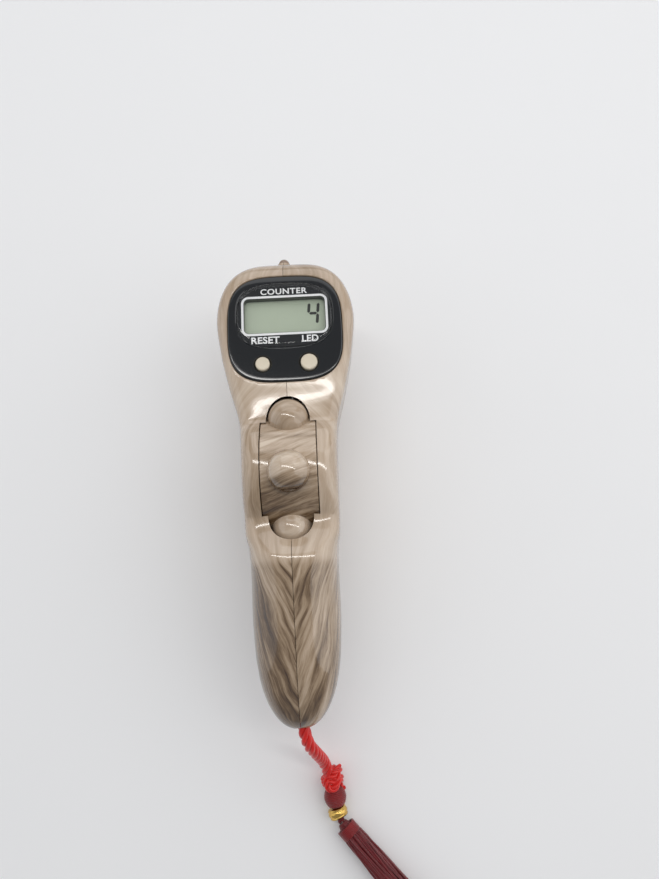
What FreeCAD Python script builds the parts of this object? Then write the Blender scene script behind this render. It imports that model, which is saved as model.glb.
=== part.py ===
import FreeCAD, Part
import math
import os

import Sketcher
from FreeCAD import Placement, Rotation, Vector

# Hand tally counter with a bead wheel and an electronic display.
# It lies on its back: +X right, +Y towards the display head, +Z out of the display.
# The origin is under the middle of the case, on the flat land of its back.

doc = FreeCAD.newDocument("hand_tally_counter")
dim = doc.addObject("Spreadsheet::Sheet", "Dim")
sums = doc.addObject("Spreadsheet::Sheet", "Sums")

DIMENSIONS = {
    # wheel
    "wheel_y": 1.0, "wheel_z": 22.8, "drum_radius": 15.7, "drum_width": 13.6, "rim_inner": 12.6,
    "web_width": 2.0, "hub_radius": 4.2, "running_gap": 0.05, "bead_radius": 5.15, "bead_count": 6,
    "bead_tilt": 6.4, "stem_radius": 2.0, "socket_gap": 0.03,
    "star_radius": 9.2, "lobe_radius": 1.6, "star_width": 1.8,
    "axle_radius": 1.5, "axle_length": 22.6,
    # contact leaves and wires
    "leaf_width": 1.2, "leaf_x": 7.0, "wire_radius": 0.3, "wire_end_y": 28.0, "wire_top_z": 25.28,
    # case
    "half_length": 60.5, "head_top_y": 58.0, "wall": 1.6, "seam_gap": 0.12, "hump_radius": 15.9,
    "window_radius": 16.05, "window_half_width": 7.05, "bead_window_radius": 5.55,
    "boss_radius": 3.1, "axle_boss_radius": 3.0, "axle_boss_x": 9.0,
    # display head
    "panel_y": 37.55, "panel_half_width": 14.7, "panel_half_height": 14.45, "panel_gap": 0.12,
    "panel_inset": 0.15, "bezel_back_z": 30.6, "flange_top_z": 31.5, "flange_width": 1.0,
    "lens_y": 41.15, "lens_half_width": 12.3, "lens_half_height": 8.8, "lens_z": 33.0,
    "lens_top_z": 34.8, "view_y": 41.55, "view_width": 21.0, "view_height": 9.6,
    "lcd_width": 25.0, "lcd_height": 13.6, "lcd_z": 28.4, "lcd_thick": 2.8,
    "board_z": 25.6, "board_thick": 1.0, "board_width": 27.0, "board_y": 24.9, "board_length": 24.6,
    # buttons
    "button_y": 27.9, "button_x": 5.9, "reset_radius": 1.82, "led_radius": 2.12, "button_top_z": 34.75,
    "button_foot_z": 29.4, "button_flange_z": 30.3, "button_flange": 0.65, "button_gap": 0.14,
    "switch_size": 4.4, "switch_height": 1.8, "plunger_radius": 0.9, "plunger_gap": 0.08,
    # torch
    "torch_z": 27.2, "torch_radius": 1.5, "torch_flange_radius": 1.9, "torch_back_y": 53.2,
    "torch_tip_y": 60.35, "torch_flange_width": 0.9, "lead_radius": 0.25, "lead_x": 0.8, "lead_end_y": 48.3,
    # battery
    "cell_radius": 5.8, "cell_height": 5.2, "cell_x": 6.3, "cell_y": 40.0, "cell_z": 19.6,
    "cell_step": 0.5, "cell_rim": 0.9, "tab_width": 4.0, "tab_length": 7.0, "bridge_length": 18.0,
    "leaf": 0.25, "door_half_width": 13.2, "door_half_height": 9.0, "door_thick": 1.4, "door_gap": 0.12,
    # fasteners
    "screw_radius": 1.0, "screw_head_radius": 1.9, "screw_head_height": 1.3, "screw_seat_x": 7.0,
    "screw_reach_x": 6.0, "counterbore_radius": 2.2, "door_screw_radius": 0.9, "door_head_radius": 1.6,
    "door_seat_z": 17.7, "door_head_height": 0.8, "door_screw_length": 5.2,
    "recess_width": 0.55, "recess_length": 2.4, "recess_depth": 0.8,
    # lanyard
    "cord_radius": 1.55, "exit_radius": 2.05, "exit_z": 22.5, "pin_y": -55.5, "pin_radius": 0.9,
    "pin_length": 11.0, "knot_radius": 3.3, "knot_length": 9.8, "tie_bead_radius": 2.6,
    "tie_bead_width": 2.6, "neck_radius": 1.0, "neck_length": 4.6, "tassel_length": 40.0,
    "tassel_neck_radius": 2.7, "tassel_end_radius": 4.4, "knot_x": 6.75, "knot_y": -78.3,
    "neck_x": 6.8, "neck_y": -82.55, "tie_bead_x": 7.1, "tie_bead_y": -83.35,
    "skirt_x": 8.6, "skirt_y": -87.15, "skirt_z": 2.75,
}

for row, (alias, number) in enumerate(DIMENSIONS.items(), start=1):
    dim.set(f"A{row}", alias)
    dim.set(f"B{row}", str(number))
    dim.setAlias(f"B{row}", alias)
doc.recompute()


def size(alias):
    return float(dim.get(alias))


# ---------------------------------------------------------------- document helpers

SUBPARTS = []
AXIS_TURN = {
    "X": Rotation(Vector(0, 1, 0), 90),
    "Y": Rotation(Vector(1, 0, 0), -90),
    "Z": Rotation(),
}


def bind(obj, **cells):
    for prop, cell in cells.items():
        obj.setExpression(prop.replace("__", "."), str(cell))
    return obj


def place(obj, x="0", y="0", z="0", turn=None):
    obj.Placement = Placement(Vector(0, 0, 0), turn or Rotation())
    return bind(obj, Placement__Base__x=x, Placement__Base__y=y, Placement__Base__z=z)


def sub_part(obj, label):
    obj.Label = label
    SUBPARTS.append(obj)
    return obj


def block(name, length, width, height, x="0", y="0", z="0", turn=None):
    """A box whose low corner is at x, y, z."""
    box = doc.addObject("Part::Box", name)
    bind(box, Length=length, Width=width, Height=height)
    return place(box, x, y, z, turn)


def rod(name, radius, height, x="0", y="0", z="0", axis="Z"):
    """A cylinder that starts at x, y, z and runs along the axis."""
    cylinder = doc.addObject("Part::Cylinder", name)
    bind(cylinder, Radius=radius, Height=height)
    return place(cylinder, x, y, z, AXIS_TURN[axis])


def cut(name, base, tool):
    result = doc.addObject("Part::Cut", name)
    result.Base, result.Tool = base, tool
    return result


def fuse(name, *pieces):
    result = doc.addObject("Part::MultiFuse", name)
    result.Shapes = list(pieces)
    return result


def common(name, *pieces):
    result = doc.addObject("Part::MultiCommon", name)
    result.Shapes = list(pieces)
    return result


def group(name, *pieces):
    result = doc.addObject("Part::Compound", name)
    result.Links = list(pieces)
    return result


def feature(name, shape):
    """A sub-part whose surface is free-form, so its shape is set directly."""
    result = doc.addObject("Part::Feature", name)
    result.Shape = shape
    return result


def body_sketch(body, role, name):
    plane = next(f for f in body.Origin.OriginFeatures if f.Role == role)
    sketch = body.newObject("Sketcher::SketchObject", name)
    sketch.AttachmentSupport = [(plane, "")]
    sketch.MapMode = "FlatFace"
    return sketch


def bound_outline(sketch, corners):
    """A closed outline of straight lines; each corner is a pair of cell expressions."""
    doc.recompute()
    points = [Vector(worked_out(across), worked_out(up), 0) for across, up in corners]
    count = len(points)
    for i in range(count):
        sketch.addGeometry(Part.LineSegment(points[i], points[(i + 1) % count]), False)
    for i in range(count):
        sketch.addConstraint(Sketcher.Constraint("Coincident", i, 2, (i + 1) % count, 1))
    for i, corner in enumerate(corners):
        for kind, axis_line, cell, number in (("DistanceX", -2, corner[0], points[i].x),
                                              ("DistanceY", -1, corner[1], points[i].y)):
            if cell == "0":
                sketch.addConstraint(Sketcher.Constraint("PointOnObject", i, 1, axis_line))
                continue
            index = sketch.addConstraint(Sketcher.Constraint(kind, -1, 1, i, 1, number))
            sketch.setExpression(f"Constraints[{index}]", cell)


def worked_out(cell):
    """The number that a cell expression stands for, from a cell of the sums sheet."""
    sums.set("A1", f"={cell}")
    sums.recompute()
    return float(sums.get("A1"))


def turned(name, outline, x="0", y="0", z="0", turn=None):
    """A body turned about its own Z axis from corners of radius and height."""
    body = doc.addObject("PartDesign::Body", name)
    sketch = body_sketch(body, "XZ_Plane", name + "_profile")
    bound_outline(sketch, outline)
    revolution = body.newObject("PartDesign::Revolution", name + "_turn")
    revolution.Profile = sketch
    revolution.ReferenceAxis = (sketch, ["V_Axis"])
    revolution.Angle = 360
    return place(body, x, y, z, turn)


def padded(name, outline, height, x="0", y="0", z="0", turn=None):
    """A body padded from corners in its own XY plane."""
    body = doc.addObject("PartDesign::Body", name)
    sketch = body_sketch(body, "XY_Plane", name + "_outline")
    bound_outline(sketch, outline)
    pad = body.newObject("PartDesign::Pad", name + "_pad")
    pad.Profile = sketch
    bind(pad, Length=height)
    return place(body, x, y, z, turn)


def round_edges(body, radius, wanted):
    """Round the edges of a body's last feature that the test picks."""
    doc.recompute()
    tip = body.Tip
    names = [f"Edge{i}" for i, edge in enumerate(tip.Shape.Edges, start=1) if wanted(edge)]
    fillet = body.newObject("PartDesign::Fillet", body.Name + "_round")
    fillet.Base = (tip, names)
    fillet.Radius = radius
    return body


# ---------------------------------------------------------------- case surface

def blend(stations, y):
    """A smooth curve through hand-picked (y, value) stations that never overshoots them."""
    ys = [s[0] for s in stations]
    vs = [s[1] for s in stations]
    if y <= ys[0]:
        return vs[0]
    if y >= ys[-1]:
        return vs[-1]
    slopes = [(vs[i + 1] - vs[i]) / (ys[i + 1] - ys[i]) for i in range(len(ys) - 1)]
    tangents = [slopes[0]]
    for before, after in zip(slopes, slopes[1:]):
        tangents.append(2 * before * after / (before + after) if before * after > 0 else 0.0)
    tangents.append(slopes[-1])
    i = max(k for k in range(len(ys) - 1) if ys[k] <= y)
    span = ys[i + 1] - ys[i]
    t = (y - ys[i]) / span
    return (vs[i] * (2 * t**3 - 3 * t**2 + 1) + vs[i + 1] * (3 * t**2 - 2 * t**3)
            + span * (tangents[i] * (t**3 - 2 * t**2 + t) + tangents[i + 1] * (t**3 - t**2)))


HALF_WIDTH = [(-60.5, 9.4), (-45, 10.3), (-32, 10.95), (-22, 10.9), (-17.5, 11.1), (-14, 11.75), (-6, 11.9),
              (7, 12.15), (13, 12.6), (23, 15.1), (33, 17.2), (42, 18.2), (58, 18.2)]
FRONT = [(-60.5, 29.0), (-54, 30.4), (-44, 32.6), (-34, 34.6), (-25, 36.6), (-20.6, 37.0), (-18.5, 36.15),
         (-16.1, 34.5), (-13.4, 33.65), (-11, 33.45), (8, 33.35), (14, 33.5), (18.8, 33.65), (22.8, 34.0),
         (28, 34.3), (58, 34.2)]
BACK = [(-60.5, 15.4), (-50, 14.0), (-40, 12.0), (-30, 9.6), (-22, 6.6), (-15, 2.6), (-9, 0.2),
        (-5, -0.35), (5, -0.45), (15, -0.4), (19, 0.1), (23, 3.5), (28, 10.5), (34, 15.2), (42, 16.6),
        (58, 16.8)]
WAIST = [(-60.5, 22.6), (-30, 22.5), (0, 24.0), (30, 26.0), (58, 26.0)]
FRONT_SQUARENESS = [(-60.5, 2.2), (-30, 2.3), (-24, 2.5), (-20.5, 3.0), (-17.5, 3.8), (-15, 6.0),
                    (12, 6.0), (24, 5.8), (58, 5.6)]
BACK_SQUARENESS = [(-60.5, 2.2), (-20, 2.4), (0, 3.0), (25, 3.2), (40, 4.5), (58, 4.5)]

HEAD_ROUND_Y, HEAD_EDGE_Y = 39.3, 50.0
TAIL_ROUND_Y, TAIL_EDGE_Y = -41.0, -46.0
HUMP_BLEND = 0.6


def rounding(y, start, end, power):
    """1 before the start of a rounded end, falling to 0 at the end."""
    t = (y - start) / (end - start)
    return 1.0 if t <= 0 else max(1 - t**power, 0.0) ** (1 / power)


def section(y, inset):
    """Half width, waist, front and back of the case at y, inset from the outside."""
    head_end = size("head_top_y") - inset
    tail_end = -size("half_length") + inset
    wide = rounding(y, HEAD_ROUND_Y, head_end, 2.5) * rounding(y, TAIL_ROUND_Y, tail_end, 2.3)
    tall = rounding(y, HEAD_EDGE_Y, head_end, 2.4) * rounding(y, TAIL_EDGE_Y, tail_end, 2.2)
    front = blend(FRONT, y)
    reach = size("hump_radius")**2 - (y - size("wheel_y"))**2
    hump = size("wheel_z") + math.sqrt(reach) if reach > 0 else 0.0
    front = 0.5 * (front + hump + math.hypot(front - hump, HUMP_BLEND))
    waist = blend(WAIST, y)
    half_width = (blend(HALF_WIDTH, y) - inset) * wide
    rise = (front - inset - waist) * tall
    drop = (waist - blend(BACK, y) - inset) * tall
    return half_width, waist, rise, drop


def section_points(y, inset):
    """Half a cross-section, from the front centre line round the +X side to the back centre line."""
    half_width, waist, rise, drop = section(y, inset)
    points = []
    for step in range(25):
        angle = math.radians(90 - 7.5 * step)
        front_side = angle >= 0
        power = blend(FRONT_SQUARENESS if front_side else BACK_SQUARENESS, y)
        height = rise if front_side else drop
        c, s = abs(math.cos(angle)), math.sin(angle)
        reach = (c**power + abs(s)**power) ** (-1 / power)
        across = 0.0 if step in (0, 24) else half_width * reach * c
        points.append(Vector(across, y, waist + height * reach * s))
    return points


def stations(inset):
    """Section places along Y, crowded where the ends close and at the shoulder ridge."""
    head_end = size("head_top_y") - inset
    tail_end = -size("half_length") + inset
    ends = [15, 29, 41, 51, 60, 67, 73, 78, 82, 85, 87.6]
    ys = [tail_end + (TAIL_ROUND_Y - tail_end) * (1 - math.sin(math.radians(a))) for a in reversed(ends)]
    ys += [TAIL_ROUND_Y + 3.5 * i for i in range(5)]
    ys += [-24.5 + 1.5 * i for i in range(24)]
    ys += [13.5 + 3.5 * i for i in range(9)]
    ys += [HEAD_ROUND_Y + (head_end - HEAD_ROUND_Y) * math.sin(math.radians(a)) for a in ends]
    return sorted(ys)


def half_case(inset):
    """The +X half of the case as a solid, inset from the outside by a wall."""
    grid = [section_points(y, inset) for y in stations(inset)]
    surface = Part.BSplineSurface()
    surface.interpolate(grid)
    skin = surface.toShape()
    front_line = surface.vIso(surface.bounds()[2]).toShape()
    back_line = surface.vIso(surface.bounds()[3]).toShape()
    tail_arc = surface.uIso(surface.bounds()[0]).toShape()
    head_arc = surface.uIso(surface.bounds()[1]).toShape()
    tail_chord = Part.makeLine(grid[0][-1], grid[0][0])
    head_chord = Part.makeLine(grid[-1][-1], grid[-1][0])
    caps = [Part.Face(Part.Wire([tail_arc, tail_chord])), Part.Face(Part.Wire([head_arc, head_chord]))]
    middle = Part.Face(Part.Wire(Part.__sortEdges__([front_line, head_chord, back_line, tail_chord])))
    shell = Part.makeShell([skin, middle] + caps)
    shell.sewShape(1e-4)
    solid = Part.Solid(Part.Shell(shell.Faces))
    return solid if solid.Volume > 0 else solid.reversed()


def mirrored(shape):
    return shape.mirror(Vector(0, 0, 0), Vector(1, 0, 0))


def superellipse(half_width, half_height, power, centre_y, z):
    """A closed outline in the XY plane, from a circle (power 2) towards a rectangle."""
    points = []
    for step in range(48):
        angle = math.radians(7.5 * step)
        c, s = math.cos(angle), math.sin(angle)
        reach = (abs(c)**power + abs(s)**power) ** (-1 / power)
        points.append(Vector(half_width * reach * c, centre_y + half_height * reach * s, z))
    curve = Part.BSplineCurve()
    curve.interpolate(points, PeriodicFlag=True)
    return Part.Face(Part.Wire([curve.toShape()]))


def column(half_width, half_height, power, centre_y, low, high):
    return superellipse(half_width, half_height, power, centre_y, low).extrude(Vector(0, 0, high - low))


def rounded_prism(width, height, corner, centre_y, low, high):
    """An upright block with rounded corners, centred on x = 0."""
    box = Part.makeBox(width, height, high - low, Vector(-width / 2, centre_y - height / 2, low))
    upright = [e for e in box.Edges if abs(e.Vertexes[0].Z - e.Vertexes[1].Z) > 1e-6]
    return box.makeFillet(corner, upright)


def drilled(radius, x0, x1, y, z):
    """A cylinder along X between two places, for a boss or a hole."""
    return Part.makeCylinder(radius, x1 - x0, Vector(x0, y, z), Vector(1, 0, 0))


PANEL_POWER, LENS_POWER, DOOR_POWER = 3.3, 3.0, 6.0
SCREW_PLACES = [(26.5, 19.5), (53.0, 21.0), (-29.0, 22.5), (-46.5, 23.5)]
DOOR_SCREW_PLACE = (10.5, 46.6)
LEAF_POST = {"x": 7.0, "y": 15.5, "z": 9.0, "width": 3.0, "height": 3.8}
LEAF_SLOTS = [9.9, 11.0]
SLOT_HEIGHT = 0.3
DEEP, FAR = 40.0, 80.0


def panel_column(margin, low, high):
    return column(size("panel_half_width") + margin, size("panel_half_height") + margin, PANEL_POWER,
                  size("panel_y"), low, high)


def lens_column(margin, low, high):
    return column(size("lens_half_width") + margin, size("lens_half_height") + margin, LENS_POWER,
                  size("lens_y"), low, high)


def door_column(margin, low, high):
    return column(size("door_half_width") + margin, size("door_half_height") + margin, DOOR_POWER,
                  size("cell_y"), low, high)


def slab(low, high):
    """All the space between two heights."""
    return Part.makeBox(2 * FAR, 2 * FAR, high - low, Vector(-FAR, -FAR, low))


def window_tool():
    """What the turning wheel and its beads need clear."""
    centre = Vector(0, size("wheel_y"), size("wheel_z"))
    half = size("window_half_width")
    drum = Part.makeCylinder(size("window_radius"), 2 * half, centre + Vector(-half, 0, 0), Vector(1, 0, 0))
    beads = Part.makeTorus(size("drum_radius"), size("bead_window_radius"), centre, Vector(1, 0, 0))
    return drum.fuse(beads)


def case_bosses(left):
    """Posts inside one half that hold the axle, the screws, the pin and the contact leaves."""
    post = LEAF_POST
    x, y = DOOR_SCREW_PLACE
    bosses = [drilled(size("axle_boss_radius"), size("axle_boss_x"), DEEP, size("wheel_y"), size("wheel_z"))]
    bosses += [drilled(size("boss_radius"), 0, DEEP, *place) for place in SCREW_PLACES]
    bosses.append(drilled(size("pin_radius") + 1.1, 2.4, DEEP, size("pin_y"), size("exit_z")))
    bosses.append(Part.makeBox(DEEP, post["width"], post["height"], Vector(post["x"], post["y"], post["z"])))
    if not left:
        bosses.append(Part.makeCylinder(1.9, 5.4, Vector(x, y, 19.7)))
        bosses.append(Part.makeBox(DEEP, 1.0, 5.4, Vector(x, y - 0.5, 19.7)))
    return bosses


def case_holes(left):
    """Everything that is cut out of one half."""
    post = LEAF_POST
    x, y = DOOR_SCREW_PLACE
    exit_z, torch_z = size("exit_z"), size("torch_z")
    along = Vector(0, 1, 0)
    holes = [window_tool(), panel_column(size("panel_gap"), size("lcd_z"), FAR),
             door_column(size("door_gap"), -DEEP, size("cell_z")),
             drilled(size("axle_radius"), 0, size("axle_length") / 2, size("wheel_y"), size("wheel_z")),
             drilled(size("pin_radius"), 0, size("pin_length") / 2, size("pin_y"), exit_z),
             Part.makeCylinder(size("exit_radius"), 8.0, Vector(0, -66.0, exit_z), along),
             Part.makeCylinder(size("torch_radius") + 0.04, 12.0, Vector(0, 50.0, torch_z), along),
             slab(-DEEP, 0), Part.makeBox(size("seam_gap") / 2, 2 * FAR, FAR, Vector(0, -FAR, 0))]
    slot = (2.0, post["width"] + 0.4, SLOT_HEIGHT)
    holes += [Part.makeBox(*slot, Vector(post["x"] - 0.1, post["y"] - 0.2, z))
              for z in LEAF_SLOTS]
    for screw_y, screw_z in SCREW_PLACES:
        if left:
            holes.append(drilled(size("screw_radius") + 0.15, 0, DEEP, screw_y, screw_z))
            holes.append(drilled(size("counterbore_radius"), size("screw_seat_x"), DEEP, screw_y, screw_z))
        else:
            holes.append(drilled(size("screw_radius"), 0, size("screw_reach_x") + 1.0, screw_y, screw_z))
    if not left:
        holes.append(Part.makeCylinder(size("door_screw_radius"), 5.0, Vector(x, y, 18.5)))
    return holes


def case_half(outer, inner, left):
    """One half of the clamshell, made on the +X side and mirrored for the left."""
    half = outer.cut(inner)
    for boss in case_bosses(left):
        half = half.fuse(boss.common(outer))
    for hole in case_holes(left):
        half = half.cut(hole)
    half = max(half.Solids, key=lambda solid: solid.Volume)
    return mirrored(half) if left else half


def both_halves(half):
    return half.fuse(mirrored(half)).removeSplitter()


def make_case(outer, inner):
    torch_z, base_y = size("torch_z"), size("head_top_y") - 0.7
    cone = Part.makeCone(2.1, 1.75, 1.5, Vector(0, base_y, torch_z), Vector(0, 1, 0))
    collar = cone.common(Part.makeBox(FAR, 2 * FAR, FAR, Vector(0, -FAR, 0)))
    with_collar = outer.fuse(collar)
    sub_part(feature("left_case", case_half(with_collar, inner, True)), "left_shell")
    sub_part(feature("right_case", case_half(with_collar, inner, False)), "right_shell")


def make_bezel():
    """The gloss inlay of the head: its front follows the case and its flange sits inside the wall."""
    back, flange_top = size("bezel_back_z"), size("flange_top_z")
    plug = half_case(size("panel_inset")).common(panel_column(0, flange_top, FAR))
    flange = half_case(size("wall") + 0.12).common(panel_column(size("flange_width"), back, flange_top))
    bezel = both_halves(plug.fuse(flange))
    view = rounded_prism(size("view_width"), size("view_height"), 1.2, size("view_y"), back - 1, FAR)
    seat = lens_column(0.08, size("lens_z"), FAR)
    pocket = rounded_prism(size("lcd_width") + 0.3, size("lcd_height") + 0.3, 0.4, size("view_y"), back - 1,
                           size("lcd_z") + size("lcd_thick") + 0.05)
    holes = [view, seat, pocket]
    for side, radius in ((-1, size("reset_radius")), (1, size("led_radius"))):
        centre = Vector(side * size("button_x"), size("button_y"), back - 1)
        holes.append(Part.makeCylinder(radius + size("button_gap"), DEEP, centre))
    for hole in holes:
        bezel = bezel.cut(hole)
    sub_part(feature("bezel_inlay", bezel), "display_bezel")


def make_display_window():
    lens = lens_column(0, size("lens_z"), size("lens_top_z"))
    top_edges = [e for e in lens.Edges if e.BoundBox.ZMin > size("lens_top_z") - 1e-3]
    sub_part(feature("clear_window", lens.makeFillet(0.45, top_edges)), "display_window")


def make_battery_door(outer):
    inside = size("door_thick") + blend(BACK, size("cell_y")) + 0.25
    door = both_halves(outer.common(door_column(0, -DEEP, inside)))
    x, y = DOOR_SCREW_PLACE
    door = door.cut(Part.makeCylinder(size("door_screw_radius") + 0.1, FAR, Vector(x, y, 0)))
    door = door.cut(Part.makeCylinder(size("door_head_radius") + 0.08, size("door_seat_z"), Vector(x, y, 0)))
    sub_part(feature("battery_cover", door), "battery_door")


# ---------------------------------------------------------------- wheel

def make_wheel():
    half, web = "Dim.drum_width / 2", "Dim.web_width / 2"
    bore, hub, rim, out = ("Dim.axle_radius + Dim.running_gap", "Dim.hub_radius", "Dim.rim_inner",
                           "Dim.drum_radius")
    centre = {"y": "Dim.wheel_y", "z": "Dim.wheel_z"}
    blank = turned("drum_blank", [
        (bore, f"-{half}"), (hub, f"-{half}"), (hub, f"-{web}"), (rim, f"-{web}"), (rim, f"-{half}"),
        (out, f"-{half}"), (out, half), (rim, half), (rim, web), (hub, web), (hub, half), (bore, half),
    ], turn=AXIS_TURN["X"], **centre)
    round_edges(blank, 0.35, lambda e: abs(e.BoundBox.YLength - 2 * size("drum_radius")) < 1e-3
                or abs(e.BoundBox.XLength - 2 * size("drum_radius")) < 1e-3)
    sockets = []
    for k in range(int(size("bead_count"))):
        socket = rod(f"socket_{k + 1}", "Dim.stem_radius + Dim.socket_gap", "Dim.drum_radius")
        sockets.append(turn_with_wheel(wrapped(f"socket_place_{k + 1}", socket, "Dim.rim_inner + 0.05"), k))
    sub_part(cut("drum_with_sockets", blank, fuse("sockets", *sockets)), "counting_drum")
    for k in range(int(size("bead_count"))):
        make_bead(k)
    for side, name in ((-1, "detent_star"), (1, "count_star")):
        make_star(name, side)
    sub_part(rod("axle_rod", "Dim.axle_radius", "Dim.axle_length", "-Dim.axle_length / 2", "Dim.wheel_y",
                 "Dim.wheel_z", "X"), "wheel_axle")


def wrapped(name, obj, lift):
    """Lift a piece along Z inside a compound that can itself be turned."""
    obj.setExpression("Placement.Base.z", lift)
    return group(name, obj)


def turn_with_wheel(obj, k, start="Dim.bead_tilt"):
    """Turn a piece made above the axle to its place round the wheel."""
    obj.Placement = Placement(Vector(0, 0, 0), Rotation(Vector(1, 0, 0), 1))
    return bind(obj, Placement__Base__y="Dim.wheel_y", Placement__Base__z="Dim.wheel_z",
                Placement__Rotation__Angle=f"{start} + {k} * 360 / Dim.bead_count")


def make_bead(k):
    ball = doc.addObject("Part::Sphere", f"ball_{k + 1}")
    bind(ball, Radius="Dim.bead_radius", Placement__Base__z="Dim.drum_radius")
    drum = rod(f"bead_seat_{k + 1}", "Dim.drum_radius", "Dim.drum_width", "-Dim.drum_width / 2", axis="X")
    dome = cut(f"dome_{k + 1}", ball, drum)
    stem = rod(f"stem_{k + 1}", "Dim.stem_radius", "Dim.drum_radius + 0.5 - Dim.rim_inner - 0.2",
               z="Dim.rim_inner + 0.2")
    sub_part(turn_with_wheel(fuse(f"bead_body_{k + 1}", dome, stem), k), f"bead_{k + 1}")


def make_star(name, side):
    """A six-lobed cam on one end of the hub."""
    start = "Dim.drum_width / 2" if side > 0 else "-Dim.drum_width / 2 - Dim.star_width"
    pieces = [rod(name + "_disc", "Dim.star_radius", "Dim.star_width", start, "Dim.wheel_y", "Dim.wheel_z",
                  "X")]
    for k in range(int(size("bead_count"))):
        angle = f"({30 + 60 * k})"
        pieces.append(rod(f"{name}_lobe_{k + 1}", "Dim.lobe_radius", "Dim.star_width", start,
                          f"Dim.wheel_y + Dim.star_radius * sin({angle} * 1deg)",
                          f"Dim.wheel_z + Dim.star_radius * cos({angle} * 1deg)", "X"))
    bore = rod(name + "_bore", "Dim.axle_radius + Dim.running_gap", "Dim.star_width", start, "Dim.wheel_y",
               "Dim.wheel_z", "X")
    sub_part(cut(name + "_cut", fuse(name + "_body", *pieces), bore), name)


# ---------------------------------------------------------------- contact leaves

YZ_TURN = Rotation(Vector(1, 1, 1), 120)


def leaf_outline(bumped, low, tail):
    """A strip one leaf thick, with or without a bump that sits under the star."""
    thick = size("leaf")
    rise = 1.95
    lower = [(tail, low), (-3.0, low)]
    if bumped:
        lower[1:1] = [(1.9, low), (0.4, low + rise), (-0.4, low + rise), (-1.9, low)]
    upper = [(y, z + thick) for y, z in reversed(lower)]
    if bumped:
        upper = [(-3.0, low + thick), (-2.0, low + thick), (-0.5, low + rise + thick),
                 (0.5, low + rise + thick), (2.0, low + thick), (tail, low + thick)]
    return [(f"{y:g}", f"{z:g}") for y, z in lower + upper]


def make_leaf(name, side, bumped, slot_z, tail):
    start = "Dim.leaf_x" if side > 0 else "-Dim.leaf_x - Dim.leaf_width"
    outline = leaf_outline(bumped, slot_z - size("wheel_z"), tail)
    strip = padded(name + "_strip", outline, "Dim.leaf_width", start, "Dim.wheel_y", "Dim.wheel_z", YZ_TURN)
    sub_part(strip, name)


def make_contacts():
    make_leaf("detent_spring", -1, True, LEAF_SLOTS[1], 17.6)
    make_leaf("count_contact_spring", 1, True, LEAF_SLOTS[1], 18.4)
    make_leaf("count_contact_blade", 1, False, LEAF_SLOTS[0], 19.6)
    wires = []
    for name, x, y, slot in (("upper", "7.35", "18.9", LEAF_SLOTS[1]),
                             ("lower", "8.1", "20.1", LEAF_SLOTS[0])):
        low = f"({slot} + Dim.leaf)"
        riser = rod(name + "_riser", "Dim.wire_radius", f"Dim.wire_top_z - {low}", x, y, low)
        run = rod(name + "_run", "Dim.wire_radius", f"Dim.wire_end_y - {y}", x, y, "Dim.wire_top_z", "Y")
        wires.append(fuse(name + "_wire", riser, run))
    sub_part(group("count_wires", *wires), "contact_wires")


# ---------------------------------------------------------------- electronics

def make_board():
    half = "Dim.board_width / 2"
    board = padded("board_plate", [(f"-{half}", "0"), (half, "0"), (half, "Dim.board_length"),
                                   (f"-{half}", "Dim.board_length")],
                   "Dim.board_thick", "0", "Dim.board_y", "Dim.board_z")
    round_edges(board, 3.5, lambda e: e.BoundBox.ZLength > 0.5)
    sub_part(board, "circuit_board")
    glass = block("lcd_back_glass", "Dim.lcd_width", "Dim.lcd_height", "Dim.lcd_thick / 2",
                  "-Dim.lcd_width / 2", "Dim.view_y - Dim.lcd_height / 2", "Dim.lcd_z")
    front = block("lcd_front_glass", "Dim.lcd_width", "Dim.lcd_height - 1.6", "Dim.lcd_thick / 2",
                  "-Dim.lcd_width / 2", "Dim.view_y - Dim.lcd_height / 2 + 0.8",
                  "Dim.lcd_z + Dim.lcd_thick / 2")
    sub_part(fuse("lcd_glass", glass, front), "lcd_panel")
    gap = "Dim.lcd_z - Dim.board_z - Dim.board_thick"
    strips = [block(f"strip_{name}", "Dim.lcd_width - 2", "1.6", gap, "-Dim.lcd_width / 2 + 1",
                    f"Dim.view_y {sign} (Dim.lcd_height / 2 - 1.2) - 0.8", "Dim.board_z + Dim.board_thick")
              for name, sign in (("lower", "-"), ("upper", "+"))]
    sub_part(group("zebra_strips", *strips), "lcd_connector_strips")
    ball = doc.addObject("Part::Sphere", "chip_ball")
    bind(ball, Radius="7", Placement__Base__y="33", Placement__Base__z="Dim.board_z + 5.9")
    keep = block("chip_keep", "12", "12", "3", "-6", "27", "Dim.board_z - 3")
    sub_part(common("chip_blob", ball, keep), "controller_chip")


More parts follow.
